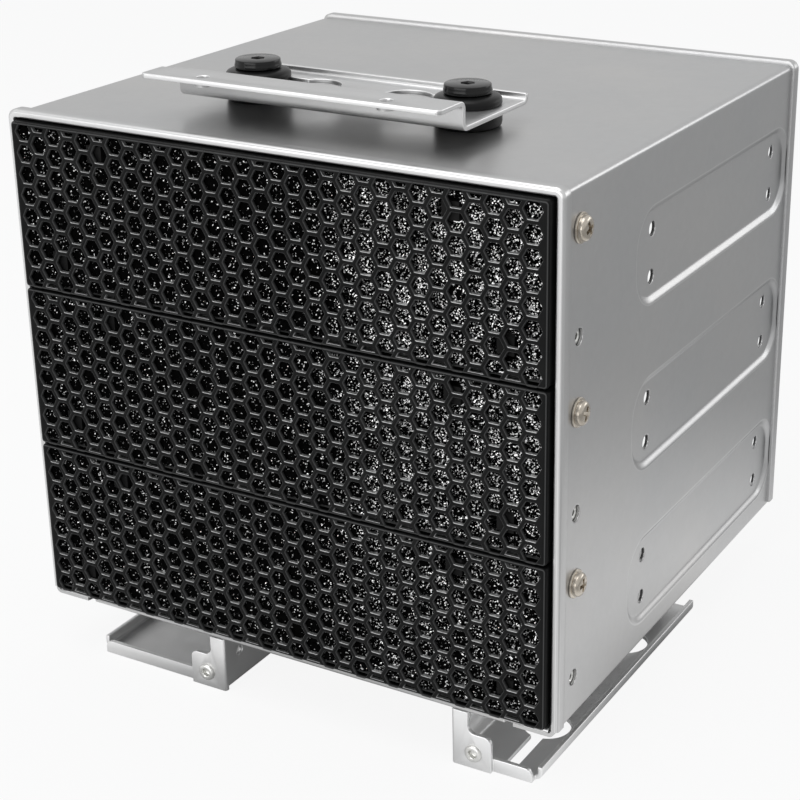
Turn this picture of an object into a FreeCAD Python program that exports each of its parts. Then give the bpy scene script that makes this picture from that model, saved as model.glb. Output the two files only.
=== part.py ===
import FreeCAD, Part

import math
import os

# Three-bay drive cage. +X is the right-hand side, +Y runs from the covers to the open back, +Z is up.
# The origin is under the middle of the cage, on the surface that its rails stand on. Millimetres.

# Sheet-metal cage
sheet = 1.0
inner_width = 148.2
cage_depth = 144.0
bend_radius = 0.5
hem_depth = 3.5
hem_nose = 0.9
hem_inner_nose = 0.4
hem_foot = 1.6
bottom_flange = 12.5
flange_notch_width = 1.7
flange_notch_depth = 6.0

# Bays and what fastens a drive or a filter frame in them
bay_count = 3
bay_pitch = 42.9
bay_gap = 0.45
drive_hole_back = 13.75
drive_hole_spacing = 79.25
drive_hole_front = cage_depth - drive_hole_back - drive_hole_spacing
drive_hole_height = 10.3
drive_hole_rise = 11.84
drive_hole_diameter = 3.6
emboss_depth = 1.0
emboss_slope = 2.2
emboss_border_along = 10.9
emboss_border_up = 6.4
emboss_corner = 10.0
ear_hole_front = 10.0
ear_hole_spacing = 25.0
ear_hole_diameter = 4.0

# Bottom plate
plate_clearance = 0.1
plate_lip_gap = 0.7

# Rails under the cage
rail_sheet = 1.2
rail_bend_radius = 0.8
rail_rise = 15.2
rail_length = 97.0
rail_lip = 3.6
rail_top_flange = 12.4
rail_right_inset = 26.6
rail_right_width = 23.0
rail_left_inset = 54.3
rail_left_width = 42.4
rail_strip = 4.4
rail_tab_width = 10.8
rail_tab_height = 9.6
rail_tab_corner = 2.0
rail_corner_gap = 1.8
rail_notch_gap = 0.5
rail_left_keyholes = 0
rail_right_keyholes = 2
keyhole_from_lip = 9.0
keyhole_first = 24.0
keyhole_spacing = 47.0
keyhole_diameter = 12.0
keyhole_slot_width = 3.2
keyhole_slot_front = 5.5
web_hole_front = 6.5
web_hole_height = 9.2
web_hole_diameter = 2.6

# Rivets
rivet_diameter = 3.2
rivet_head = 5.6
rivet_head_height = 1.1
rivet_crown = 3.1
rivet_brim = 5.0
rivet_brim_height = 0.6
rivet_set_base = 4.5
rivet_set_crown = 3.9
rivet_set_height = 0.4
rivet_clearance = 0.1
plate_rivet_margin = 20.0
rail_rivet_margin = 15.0
corner_rivet_across = 6.0
corner_rivet_height = 4.3
corner_rivet_head = 4.6
corner_rivet_head_height = 0.7
corner_rivet_face = 3.4
corner_rivet_edge = 0.3
corner_rivet_hole = 2.0
corner_rivet_bulb = 2.0
corner_rivet_bulb_end = 3.7

# Top bracket, carried on two rubber grommets
bracket_sheet = 1.2
bracket_bend_radius = 0.8
bracket_length = 82.5
bracket_offset = -0.95
bracket_relief = 3.3
bracket_front = 10.3
bracket_wall_front = 20.8
bracket_back = 52.6
bracket_lift = 4.0
bracket_rise = 7.2
bracket_lip = 1.5
bracket_lip_clip = 0.4
bracket_hole_spacing = 50.8
bracket_hole_front = 3.6
bracket_hole_diameter = 3.0
bracket_collar_wall = 0.7
bracket_collar_drop = 1.0
bracket_clip = 1.2
grommet_spacing = 60.0
grommet_from_front = 41.4
grommet_flange = 16.4
grommet_soft = 1.4
grommet_neck = 10.2
grommet_bore = 6.2
grommet_top = 2.6
grommet_fit = 0.1
keyway_width = 8.6
keyway_entry = 13.0
keyway_travel = 17.0
shoulder_diameter = 6.0
shoulder_head = 11.8
shoulder_head_height = 2.4
shoulder_rim = 0.3
shoulder_thread = 4.0
hex_socket = 3.0
hex_socket_depth = 1.6
nut_body = 8.0
nut_height = 1.4
nut_shank = 5.4
nut_fit = 0.05

# Mesh covers
cover_sheet = 1.0
cover_side_gap = 0.6
cover_proud = 2.0
cover_depth = 7.0
cover_corner = 1.0
cover_edge = 0.6
least_corner = 0.3
hex_pitch = 5.36
hex_web = 1.05
hex_margin = 0.25
hex_strip = 0.45

# Foam filters
foam_thickness = 3.0
foam_inset = 0.4
foam_hole = 7.0

# Filter frames
frame_fit = 0.3
frame_wall = 2.4
frame_border = 7.0
frame_bar = 3.0
frame_bar_spacing = 14.5
frame_bars = 9
frame_plate = 2.5
ear_length = 8.0
ear_height = 35.0
ear_thickness = 3.2
ear_corner = 3.0
ear_wall_gap = 0.15
peg_side = 4.4
peg_high_x = 49.0
peg_high_drop = 5.8
peg_low_x = 62.5
peg_low_rise = 8.0

# Screws that hold the filter frames
screw_diameter = 3.0
screw_fit = 0.05
screw_head = 5.8
screw_head_height = 2.2
screw_flange = 7.0
screw_flange_height = 0.7
screw_flange_edge = 0.4
screw_head_side = 1.4
screw_crown = 4.4
screw_length = 6.0
cross_width = 1.0
cross_span = 3.6
cross_depth = 1.1

# How far a cutting shape runs past what it cuts, and how near counts as the same place
overshoot = 1.0
same_place = 1e-4

# Places worked out from the sizes above
front = -(cage_depth - cover_proud) / 2
half_inner = inner_width / 2
half_outer = half_inner + sheet
shell_bottom = rail_rise
plate_bottom = shell_bottom + sheet
plate_top = plate_bottom + sheet
cage_ceiling = plate_top + bay_count * bay_pitch + bay_gap
cage_top = cage_ceiling + sheet
bay_names = ["bottom", "middle", "top", "fourth", "fifth"]
cover_width = inner_width - 2 * cover_side_gap
cover_height = bay_pitch - bay_gap
cover_back = front - cover_proud + cover_depth
cover_face_back = front - cover_proud + cover_sheet
foam_back = cover_face_back + foam_thickness
spigot_front = foam_back + frame_fit
frame_front = cover_back + frame_fit
frame_back = frame_front + frame_plate
bracket_bottom = cage_top + bracket_lift
bracket_flange_bottom = bracket_bottom + bracket_rise - bracket_sheet
grommet_height = bracket_lift + bracket_sheet + grommet_top
hex_flats = hex_pitch - hex_web
hex_spoke = hex_flats / math.sqrt(3)
hex_column_pitch = hex_pitch * math.sqrt(3) / 2
hex_rows = 1 + int((cover_height - 2 * hex_margin - hex_flats) / hex_pitch)
hex_side_columns = int((cover_width / 2 - cover_sheet - hex_margin - hex_spoke) / hex_column_pitch)
x_axis = FreeCAD.Vector(1, 0, 0)
y_axis = FreeCAD.Vector(0, 1, 0)
z_axis = FreeCAD.Vector(0, 0, 1)


def bay_floor(bay):
    """Height of the lower edge of a bay's cover."""
    return plate_top + bay_gap + bay * bay_pitch


def box(x_low, x_high, y_low, y_high, z_low, z_high):
    """Block between two corners."""
    size = (x_high - x_low, y_high - y_low, z_high - z_low)
    return Part.makeBox(*size, FreeCAD.Vector(x_low, y_low, z_low))


def rod(diameter, start, end):
    """Cylinder from one point to another."""
    start = FreeCAD.Vector(*start)
    run = FreeCAD.Vector(*end) - start
    return Part.makeCylinder(diameter / 2, run.Length, start, run)


def join(shapes):
    """One solid from several that meet."""
    shapes = list(shapes)
    return shapes[0].multiFuse(shapes[1:]).removeSplitter()


def cut(body, tools):
    """A body with several shapes taken out of it."""
    return body.cut(Part.Compound(list(tools)))


def turned(profile, place, axis):
    """Solid of revolution from (radius, height) points, standing at a place along an axis."""
    points = [FreeCAD.Vector(radius, 0, height) for radius, height in profile]
    face = Part.Face(Part.makePolygon(points + points[:1]))
    solid = face.revolve(FreeCAD.Vector(0, 0, 0), z_axis, 360)
    turn = FreeCAD.Rotation(z_axis, axis)
    solid.Placement = FreeCAD.Placement(FreeCAD.Vector(*place), turn)
    return solid


def path_edges(points, radii, closed):
    """Edges through points, with each corner rounded to its radius."""
    count = len(points)
    corners = range(count) if closed else range(1, count - 1)
    starts = {}
    ends = {}
    arcs = {}
    for index in corners:
        corner = points[index]
        back = (points[index - 1] - corner).normalize()
        ahead = (points[(index + 1) % count] - corner).normalize()
        half_angle = back.getAngle(ahead) / 2
        radius = radii[index]
        starts[index] = corner + back * (radius / math.tan(half_angle))
        ends[index] = corner + ahead * (radius / math.tan(half_angle))
        if radius > 0:
            inward = (back + ahead).normalize()
            middle = corner + inward * (radius / math.sin(half_angle) - radius)
            arcs[index] = Part.Arc(starts[index], middle, ends[index]).toShape()
    edges = []
    for index in range(count if closed else count - 1):
        following = (index + 1) % count
        line_start = ends.get(index, points[index])
        line_end = starts.get(following, points[following])
        if (line_end - line_start).Length > same_place:
            edges.append(Part.makeLine(line_start, line_end))
        if following in arcs:
            edges.append(arcs[following])
    return edges


def rounded_wire(points, radii):
    """Closed outline through points with rounded corners."""
    return Part.Wire(path_edges(points, radii, True))


def rectangle(middle, along, half_along, up, half_up, radius):
    """Closed rounded rectangle about a middle point, on two directions."""
    signs = [(-1, -1), (1, -1), (1, 1), (-1, 1)]
    points = [middle + along * (a * half_along) + up * (b * half_up) for a, b in signs]
    return rounded_wire(points, [radius] * 4)


def folded_section(path, radius, thickness, place):
    """Face of a folded sheet whose one skin follows a path, with the metal on the path's left.

    The path is a list of flat points. Every fold has the same inside radius.
    """
    headings = [
        FreeCAD.Vector(b[0] - a[0], b[1] - a[1], 0).normalize() for a, b in zip(path, path[1:])
    ]
    lefts = [FreeCAD.Vector(-heading.y, heading.x, 0) for heading in headings]
    skin = [FreeCAD.Vector(u, v, 0) for u, v in path]
    other = [skin[0] + lefts[0] * thickness]
    skin_radii = [0]
    other_radii = [0]
    for index in range(1, len(path) - 1):
        before = lefts[index - 1]
        after = lefts[index]
        other.append(skin[index] + (before + after) * (thickness / (1 + before.dot(after))))
        turns_left = headings[index - 1].cross(headings[index]).z > 0
        skin_radii.append(radius + thickness if turns_left else radius)
        other_radii.append(radius if turns_left else radius + thickness)
    other.append(skin[-1] + lefts[-1] * thickness)
    skin = [place(point.x, point.y) for point in skin]
    other = [place(point.x, point.y) for point in other]
    edges = path_edges(skin, skin_radii + [0], False)
    edges.append(Part.makeLine(skin[-1], other[-1]))
    edges += path_edges(other, other_radii + [0], False)
    edges.append(Part.makeLine(other[0], skin[0]))
    return Part.Face(Part.Wire(Part.__sortEdges__(edges)))


def round_edges(solid, radius, chosen):
    """Solid with the edges that a test picks rounded."""
    return solid.makeFillet(radius, [edge for edge in solid.Edges if chosen(edge)])


def lies_at(edge, value, level):
    """Whether both ends of an edge have the same given coordinate."""
    return all(abs(value(vertex.Point) - level) < same_place for vertex in edge.Vertexes)


# Cage


def shell_profile(outset, foot, back):
    """Arch of the cage's skin, moved out by an outset, from a foot height to the top and down again."""
    side = half_outer + outset
    top = cage_top + outset
    path = [(side, foot), (side, top), (-side, top), (-side, foot)]
    return path if back is None else [(back, foot)] + path + [(-back, foot)]


def hem(y_start):
    """Sheet edge folded flat on the outside of the top and the walls."""
    path = shell_profile(sheet, shell_bottom + hem_foot, None)
    section = folded_section(path, bend_radius + sheet, sheet, lambda x, z: FreeCAD.Vector(x, y_start, z))
    return section.extrude(y_axis * hem_depth)


def emboss(side, bay):
    """Outer hollow and inner pad that bring the wall in to the drive around its four holes."""
    middle_y = front + drive_hole_front + drive_hole_spacing / 2
    middle_z = bay_floor(bay) + drive_hole_height + drive_hole_rise / 2
    half_along = drive_hole_spacing / 2 + emboss_border_along
    half_up = drive_hole_rise / 2 + emboss_border_up

    def pressed(skin):
        wires = []
        for inset, depth in ((0, 0), (emboss_slope, emboss_depth)):
            middle = FreeCAD.Vector(side * (skin - depth), middle_y, middle_z)
            wires.append(
                rectangle(
                    middle, y_axis, half_along - inset, z_axis, half_up - inset, emboss_corner - inset
                )
            )
        return Part.makeLoft(wires, True, True)

    return pressed(half_outer), pressed(half_inner)


def drive_holes(bay):
    """Four screw holes on each side of a bay, where a drive has its threads."""
    low = bay_floor(bay) + drive_hole_height
    holes = []
    for y in (front + drive_hole_front, front + drive_hole_front + drive_hole_spacing):
        for z in (low, low + drive_hole_rise):
            holes.append(rod(drive_hole_diameter, (-half_outer - sheet, y, z), (half_outer + sheet, y, z)))
    return holes


def ear_heights(bay):
    """Heights of a frame's lower and upper side holes."""
    middle = bay_floor(bay) + cover_height / 2
    return middle - ear_hole_spacing / 2, middle + ear_hole_spacing / 2


def plate_rivet_places():
    """Points where the bottom plate is riveted to the cage's flanges, at the plate's underside."""
    across = half_outer - bottom_flange / 2
    along = [front + plate_rivet_margin, front + cage_depth / 2, front + cage_depth - plate_rivet_margin]
    return [(side * across, y, plate_bottom) for side in (-1, 1) for y in along]


def grommet_places():
    """Points on the cage's top under the two grommets."""
    return [(side * grommet_spacing / 2, front + grommet_from_front, cage_top) for side in (-1, 1)]


def cage_shell():
    """Top and side walls of one folded sheet, hemmed at both ends, with flanges under the bottom plate."""
    back = half_outer - bottom_flange
    path = shell_profile(0, shell_bottom, back)
    section = folded_section(path, bend_radius, sheet, lambda x, z: FreeCAD.Vector(x, front, z))
    shell = join([section.extrude(y_axis * cage_depth), hem(front), hem(front + cage_depth - hem_depth)])
    noses = (front, front + cage_depth)

    def on_nose(edge, top, side):
        above_foot = all(v.Point.z > shell_bottom + hem_foot - same_place for v in edge.Vertexes)
        across = any(lies_at(edge, lambda point: point.y, nose) for nose in noses)
        on_top = lies_at(edge, lambda point: point.z, top)
        on_wall = lies_at(edge, lambda point: abs(point.x), side)
        return above_foot and across and (on_top or on_wall)

    shell = round_edges(shell, hem_nose, lambda edge: on_nose(edge, cage_top + sheet, half_outer + sheet))
    shell = round_edges(shell, hem_inner_nose, lambda edge: on_nose(edge, cage_ceiling, half_inner))
    pads = []
    hollows = []
    for bay in range(bay_count):
        for side in (-1, 1):
            hollow, pad = emboss(side, bay)
            hollows.append(hollow)
            pads.append(pad)
    shell = cut(join([shell] + pads), hollows)
    tools = []
    for bay in range(bay_count):
        tools += drive_holes(bay)
        for z in ear_heights(bay):
            y = front + ear_hole_front
            tools.append(rod(ear_hole_diameter, (-half_outer - sheet, y, z), (half_outer + sheet, y, z)))
    for x, y, z in grommet_places():
        tools.append(rod(nut_shank + 2 * nut_fit, (x, y, z - 2 * sheet), (x, y, z + sheet)))
    for x, y, z in plate_rivet_places():
        tools.append(rod(rivet_diameter + 2 * rivet_clearance, (x, y, z - 2 * sheet), (x, y, z + sheet)))
    for side in (-1, 1):
        edges = sorted((side * back, side * (back + flange_notch_width)))
        notch_back = front + flange_notch_depth
        tools.append(box(edges[0], edges[1], front, notch_back, shell_bottom - sheet, plate_bottom + sheet))
    return cut(shell, tools)


def bottom_plate():
    """Floor of the cage, which lies on the side flanges and has a hemmed front edge between them."""
    half_width = half_inner - bend_radius - plate_clearance
    half_lip = half_outer - bottom_flange - plate_lip_gap
    floor = box(-half_width, half_width, front, front + cage_depth, plate_bottom, plate_top)
    fold = box(-half_lip, half_lip, front, front + hem_depth, shell_bottom, plate_bottom)
    plate = join([floor, fold])
    plate = round_edges(
        plate,
        hem_nose,
        lambda edge: lies_at(edge, lambda point: point.y, front) and edge.Length > half_lip,
    )
    places = plate_rivet_places() + rail_rivet_places()
    drill = rivet_diameter + 2 * rivet_clearance
    return cut(plate, [rod(drill, (x, y, z - sheet), (x, y, z + 2 * sheet)) for x, y, z in places])


# Rails


def rail_sides():
    """Name, direction, web place, width and number of keyholes of each rail."""
    return [
        ("left", -1, rail_left_inset - half_inner, rail_left_width, rail_left_keyholes),
        ("right", 1, half_inner - rail_right_inset, rail_right_width, rail_right_keyholes),
    ]


def rail_rivet_places():
    """Points where the rails' top flanges are riveted to the bottom plate, at the plate's underside."""
    along = [front + rail_rivet_margin, front + rail_length / 2, front + rail_length - rail_rivet_margin]
    across = rail_sheet + (rail_top_flange - rail_sheet) / 2
    return [(web + side * across, y, plate_bottom) for _, side, web, _, _ in rail_sides() for y in along]


def keyhole(across, along):
    """Round entry with a narrow slot towards the front, through a rail's floor."""
    entry = rod(keyhole_diameter, (across, along, -rail_sheet), (across, along, 2 * rail_sheet))
    half_slot = keyhole_slot_width / 2
    slot_start = along - keyhole_first + keyhole_slot_front
    slot = box(across - half_slot, across + half_slot, slot_start, along, -rail_sheet, 2 * rail_sheet)
    return entry.fuse(slot)


def rail(width, keyhole_count):
    """Channel rail with its web at x = 0, its floor and low lip towards +X and its front at y = 0."""
    top = plate_bottom
    path = [(rail_top_flange, top), (0, top), (0, 0), (width, 0), (width, rail_lip)]
    section = folded_section(
        path, rail_bend_radius, rail_sheet, lambda x, z: FreeCAD.Vector(x, rail_sheet, z)
    )
    channel = section.extrude(y_axis * (rail_length - rail_sheet))
    tab_points = [
        (0, 0),
        (rail_tab_width, 0),
        (rail_tab_width, rail_tab_height),
        (rail_strip, rail_tab_height),
        (rail_strip, shell_bottom),
        (0, shell_bottom),
    ]
    tab_radii = [0, 0, rail_tab_corner, rail_tab_corner, 0, 0]
    tab = Part.Face(rounded_wire([FreeCAD.Vector(x, 0, z) for x, z in tab_points], tab_radii))
    tab = tab.extrude(y_axis * rail_sheet)
    inner_tab = rail_tab_width - rail_sheet
    lip_end = width - rail_corner_gap
    lip_points = [
        (rail_sheet, 0),
        (lip_end, 0),
        (lip_end, rail_lip),
        (inner_tab, rail_lip),
        (inner_tab, rail_tab_height - rail_sheet),
        (rail_sheet, rail_tab_height - rail_sheet),
    ]
    lip_radii = [0, 0, rail_tab_corner, rail_sheet, 0, 0]
    lip = Part.Face(rounded_wire([FreeCAD.Vector(x, rail_sheet, z) for x, z in lip_points], lip_radii))
    lip = lip.extrude(y_axis * rail_sheet)
    corner = box(lip_end, width + rail_sheet, 0, 2 * rail_sheet + rail_bend_radius, -rail_sheet, top)
    body = join([channel.cut(corner), tab, lip])
    body = round_edges(
        body,
        rail_bend_radius,
        lambda edge: lies_at(edge, lambda point: point.x, 0) and lies_at(edge, lambda point: point.y, 0),
    )
    notch_back = hem_depth + rail_notch_gap
    past_flange = rail_top_flange + overshoot
    under_hem = box(-overshoot, past_flange, -overshoot, notch_back, shell_bottom, top + overshoot)
    fold_end = box(rail_sheet, past_flange, rail_sheet, notch_back, shell_bottom - rail_sheet, top)
    body = cut(body, [under_hem, fold_end])
    across = width - keyhole_from_lip
    tools = [keyhole(across, keyhole_first + place * keyhole_spacing) for place in range(keyhole_count)]
    hole_end = (2 * rail_sheet, web_hole_front, web_hole_height)
    tools.append(rod(web_hole_diameter, (-rail_sheet, web_hole_front, web_hole_height), hole_end))
    drill = rivet_diameter + 2 * rivet_clearance
    rivet_x = rail_sheet + (rail_top_flange - rail_sheet) / 2
    for y in (rail_rivet_margin, rail_length / 2, rail_length - rail_rivet_margin):
        tools.append(rod(drill, (rivet_x, y, top - 2 * rail_sheet), (rivet_x, y, top + rail_sheet)))
    corner_start = (corner_rivet_across, -rail_sheet, corner_rivet_height)
    tools.append(rod(drill, corner_start, (corner_rivet_across, 3 * rail_sheet, corner_rivet_height)))
    return cut(body, tools)


def rails():
    """Both rails, the left one the mirror hand of the right one."""
    made = {}
    for name, side, web, width, keyholes in rail_sides():
        shape = rail(width, keyholes)
        if side < 0:
            shape = shape.mirror(FreeCAD.Vector(0, 0, 0), x_axis)
        shape.translate(FreeCAD.Vector(web, front, 0))
        made["rail_" + name] = shape
    return made


# Rivets


def set_rivet(place, grip_below, grip_above):
    """Upright rivet with its round head below the sheets and a low set end above them."""
    x, y, z = place
    low = -grip_below
    high = grip_above
    head = rivet_head / 2
    profile = [
        (0, low - rivet_head_height),
        (rivet_crown / 2, low - rivet_head_height),
        (rivet_brim / 2, low - rivet_brim_height),
        (head, low),
        (rivet_diameter / 2, low),
        (rivet_diameter / 2, high),
        (rivet_set_base / 2, high),
        (rivet_set_crown / 2, high + rivet_set_height),
        (0, high + rivet_set_height),
    ]
    return turned(profile, (x, y, z), z_axis)


def corner_rivet(place):
    """Blind rivet through a rail's front tab and the lip behind it, with its hollow head in front."""
    hole = corner_rivet_hole / 2
    head = corner_rivet_head / 2
    grip = 2 * rail_sheet
    profile = [
        (hole, -corner_rivet_head_height),
        (corner_rivet_face / 2, -corner_rivet_head_height),
        (head, -corner_rivet_edge),
        (head, 0),
        (rivet_diameter / 2, 0),
        (rivet_diameter / 2, grip),
        (head, grip),
        (corner_rivet_bulb_end / 2, grip + corner_rivet_bulb),
        (hole, grip + corner_rivet_bulb),
    ]
    return turned(profile, place, y_axis)


def corner_rivets():
    """One blind rivet at the front corner of each rail."""
    across = [web + side * corner_rivet_across for _, side, web, _, _ in rail_sides()]
    return Part.Compound([corner_rivet((x, front, corner_rivet_height)) for x in across])


# Top bracket


def top_bracket():
    """Z-shaped bracket: a forward flange with two tapped collars, a wall, and a base on grommets.

    At the left end the flange is longer than the wall and the base.
    """
    base = bracket_bottom
    path = [
        (front + bracket_front, bracket_flange_bottom),
        (front + bracket_wall_front, bracket_flange_bottom),
        (front + bracket_wall_front, base),
        (front + bracket_back, base),
        (front + bracket_back, base + bracket_sheet + bracket_lip),
    ]
    left = bracket_offset - bracket_length / 2
    section = folded_section(
        path, bracket_bend_radius, bracket_sheet, lambda y, z: FreeCAD.Vector(left, y, z)
    )
    body = section.extrude(x_axis * bracket_length)
    flange_front = front + bracket_front
    lip_top = base + bracket_sheet + bracket_lip

    def sheet_thick(edge):
        return abs(edge.Length - bracket_sheet) < same_place

    def flange_corner(edge):
        return sheet_thick(edge) and lies_at(edge, lambda point: point.y, flange_front)

    def lip_corner(edge):
        return sheet_thick(edge) and lies_at(edge, lambda point: point.z, lip_top)

    body = round_edges(body, bracket_clip, flange_corner)
    body = round_edges(body, bracket_lip_clip, lip_corner)
    fold_start = front + bracket_wall_front - bracket_bend_radius - bracket_sheet
    past_back = front + bracket_back + bracket_sheet + overshoot
    flange_top = bracket_flange_bottom + bracket_sheet
    relief = box(left, left + bracket_relief, fold_start, past_back, base, flange_top)
    body = body.cut(relief)
    collar_y = flange_front + bracket_hole_front
    collar_low = bracket_flange_bottom - bracket_collar_drop
    holes = []
    collars = []
    for side in (-1, 1):
        x = bracket_offset + side * bracket_hole_spacing / 2
        outside = bracket_hole_diameter + 2 * bracket_collar_wall
        collars.append(rod(outside, (x, collar_y, collar_low), (x, collar_y, flange_top)))
        hole_low = (x, collar_y, collar_low - overshoot)
        holes.append(rod(bracket_hole_diameter, hole_low, (x, collar_y, flange_top + overshoot)))
    for x, y, _ in grommet_places():
        inner = x - math.copysign(keyway_travel, x)
        low = base - bracket_sheet
        high = base + 2 * bracket_sheet
        holes.append(rod(grommet_neck + 2 * grommet_fit, (x, y, low), (x, y, high)))
        holes.append(rod(keyway_entry, (inner, y, low), (inner, y, high)))
        edges = sorted((x, inner))
        holes.append(box(edges[0], edges[1], y - keyway_width / 2, y + keyway_width / 2, low, high))
    return cut(join([body] + collars), holes)


def grommet(place):
    """Rubber bush with a flange on each side of the bracket's base."""
    bore = grommet_bore / 2
    flange = grommet_flange / 2
    neck = grommet_neck / 2
    over_plate = bracket_lift + bracket_sheet
    soft = grommet_soft
    profile = [
        (bore, 0),
        (flange - soft, 0),
        (flange, soft / 2),
        (flange, bracket_lift - soft / 2),
        (flange - soft / 2, bracket_lift),
        (neck, bracket_lift),
        (neck, over_plate),
        (flange - soft / 2, over_plate),
        (flange, over_plate + soft / 2),
        (flange - soft / 3, grommet_height - soft / 3),
        (flange - soft, grommet_height),
        (bore, grommet_height),
    ]
    return turned(profile, place, z_axis)


def shoulder_screw(place):
    """Flat-headed shoulder screw through a grommet into the nut in the cage's top."""
    head = shoulder_head / 2
    shoulder = shoulder_diameter / 2
    thread = shoulder_thread / 2
    tip = -sheet - nut_height
    top = grommet_height + shoulder_head_height
    rim = shoulder_rim
    profile = [
        (0, tip),
        (thread, tip),
        (thread, 0),
        (shoulder, 0),
        (shoulder, grommet_height),
        (head - rim, grommet_height),
        (head, grommet_height + rim),
        (head, top - rim),
        (head - rim, top),
        (0, top),
    ]
    screw = turned(profile, place, z_axis)
    x, y, z = place
    corners = []
    for corner in range(6):
        angle = math.radians(60 * corner)
        spoke = hex_socket / math.sqrt(3)
        corners.append(FreeCAD.Vector(x + spoke * math.cos(angle), y + spoke * math.sin(angle), z + top))
    socket = Part.Face(Part.makePolygon(corners + corners[:1]))
    return screw.cut(socket.extrude(z_axis * -hex_socket_depth))


def clinch_nut(place):
    """Nut pressed into the cage's top from inside, for a shoulder screw."""
    bore = shoulder_thread / 2 + nut_fit
    shank = nut_shank / 2
    body = nut_body / 2
    profile = [
        (bore, -sheet - nut_height),
        (body, -sheet - nut_height),
        (body, -sheet),
        (shank, -sheet),
        (shank, 0),
        (bore, 0),
    ]
    return turned(profile, place, z_axis)


# Mesh covers, foam and frames


def hole_prism(outline):
    """Hole through a cover's face on an outline of (x, z) points."""
    y = front - cover_proud - cover_sheet
    corners = [FreeCAD.Vector(x, y, z) for x, z in outline]
    return Part.Face(Part.makePolygon(corners + corners[:1])).extrude(y_axis * (cover_face_back - y))


def hex_hole(x, z):
    """Six-sided hole with flats above and below."""
    angles = [math.radians(60 * corner) for corner in range(6)]
    return hole_prism([(x + hex_spoke * math.cos(a), z + hex_spoke * math.sin(a)) for a in angles])


def half_hole(x, z_inner, z_outer):
    """Part of a six-sided hole that the cover's long edge leaves, from its flat out to the edge strip."""
    half_flat = hex_spoke / 2
    half_edge = half_flat + abs(z_outer - z_inner) / math.sqrt(3)
    inner = [(x - half_flat, z_inner), (x + half_flat, z_inner)]
    return hole_prism(inner + [(x + half_edge, z_outer), (x - half_edge, z_outer)])


def cover_holes():
    """Holes of the bottom cover: full columns at both ends, and staggered ones between them."""
    middle = bay_floor(0) + cover_height / 2
    holes = []
    for column in range(-hex_side_columns, hex_side_columns + 1):
        x = column * hex_column_pitch
        staggered = (column - hex_side_columns) % 2
        rows = hex_rows - staggered
        for row in range(rows):
            holes.append(hex_hole(x, middle + (row - (rows - 1) / 2) * hex_pitch))
        z_inner = hex_rows / 2 * hex_pitch - hex_flats / 2
        z_outer = cover_height / 2 - hex_strip
        if staggered and z_outer - z_inner > hex_strip:
            holes.append(half_hole(x, middle + z_inner, middle + z_outer))
            holes.append(half_hole(x, middle - z_inner, middle - z_outer))
    return holes


def cover_block(inset, y_low, y_high):
    """Rounded block on the cover's outline, moved in by an inset."""
    middle = FreeCAD.Vector(0, y_low, bay_floor(0) + cover_height / 2)
    corner = max(cover_corner - inset, least_corner)
    wire = rectangle(middle, x_axis, cover_width / 2 - inset, z_axis, cover_height / 2 - inset, corner)
    return Part.Face(wire).extrude(y_axis * (y_high - y_low))


def mesh_cover():
    """Perforated sheet cover of the bottom bay, with its four edges folded back."""
    face_front = front - cover_proud
    pan = cover_block(0, face_front, cover_back)
    pan = round_edges(pan, cover_edge, lambda edge: lies_at(edge, lambda point: point.y, face_front))
    pan = pan.cut(cover_block(cover_sheet, cover_face_back, cover_back + cover_sheet))
    return cut(pan, cover_holes())


def peg_places():
    """Middles of a frame's four pegs about the cover's middle."""
    high = cover_height / 2 - peg_high_drop
    low = peg_low_rise - cover_height / 2
    return [(side * x, z) for side in (-1, 1) for x, z in ((peg_high_x, high), (peg_low_x, low))]


def foam_filter():
    """Foam sheet of the bottom bay, behind the cover's face, with holes for the frame's pegs."""
    middle = bay_floor(0) + cover_height / 2
    sheet_block = cover_block(cover_sheet + foam_inset, cover_face_back, foam_back)
    holes = []
    for x, z in peg_places():
        start = (x, cover_face_back - foam_thickness, middle + z)
        holes.append(rod(foam_hole, start, (x, foam_back + foam_thickness, middle + z)))
    return cut(sheet_block, holes)


def frame_ear(side):
    """Side plate of a frame, with the two holes that its screws use."""
    middle = bay_floor(0) + cover_height / 2
    outside = half_inner - ear_wall_gap
    back = front + ear_hole_front + ear_length / 2
    centre = FreeCAD.Vector(side * outside, (frame_front + back) / 2, middle)
    wire = rectangle(centre, y_axis, (back - frame_front) / 2, z_axis, ear_height / 2, ear_corner)
    plate = Part.Face(wire).extrude(x_axis * (-side * ear_thickness))
    root = sorted((side * outside, side * (outside - ear_thickness)))
    foot = box(root[0], root[1], frame_front, frame_back, middle - ear_height / 2, middle + ear_height / 2)
    return join([plate, foot])


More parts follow.
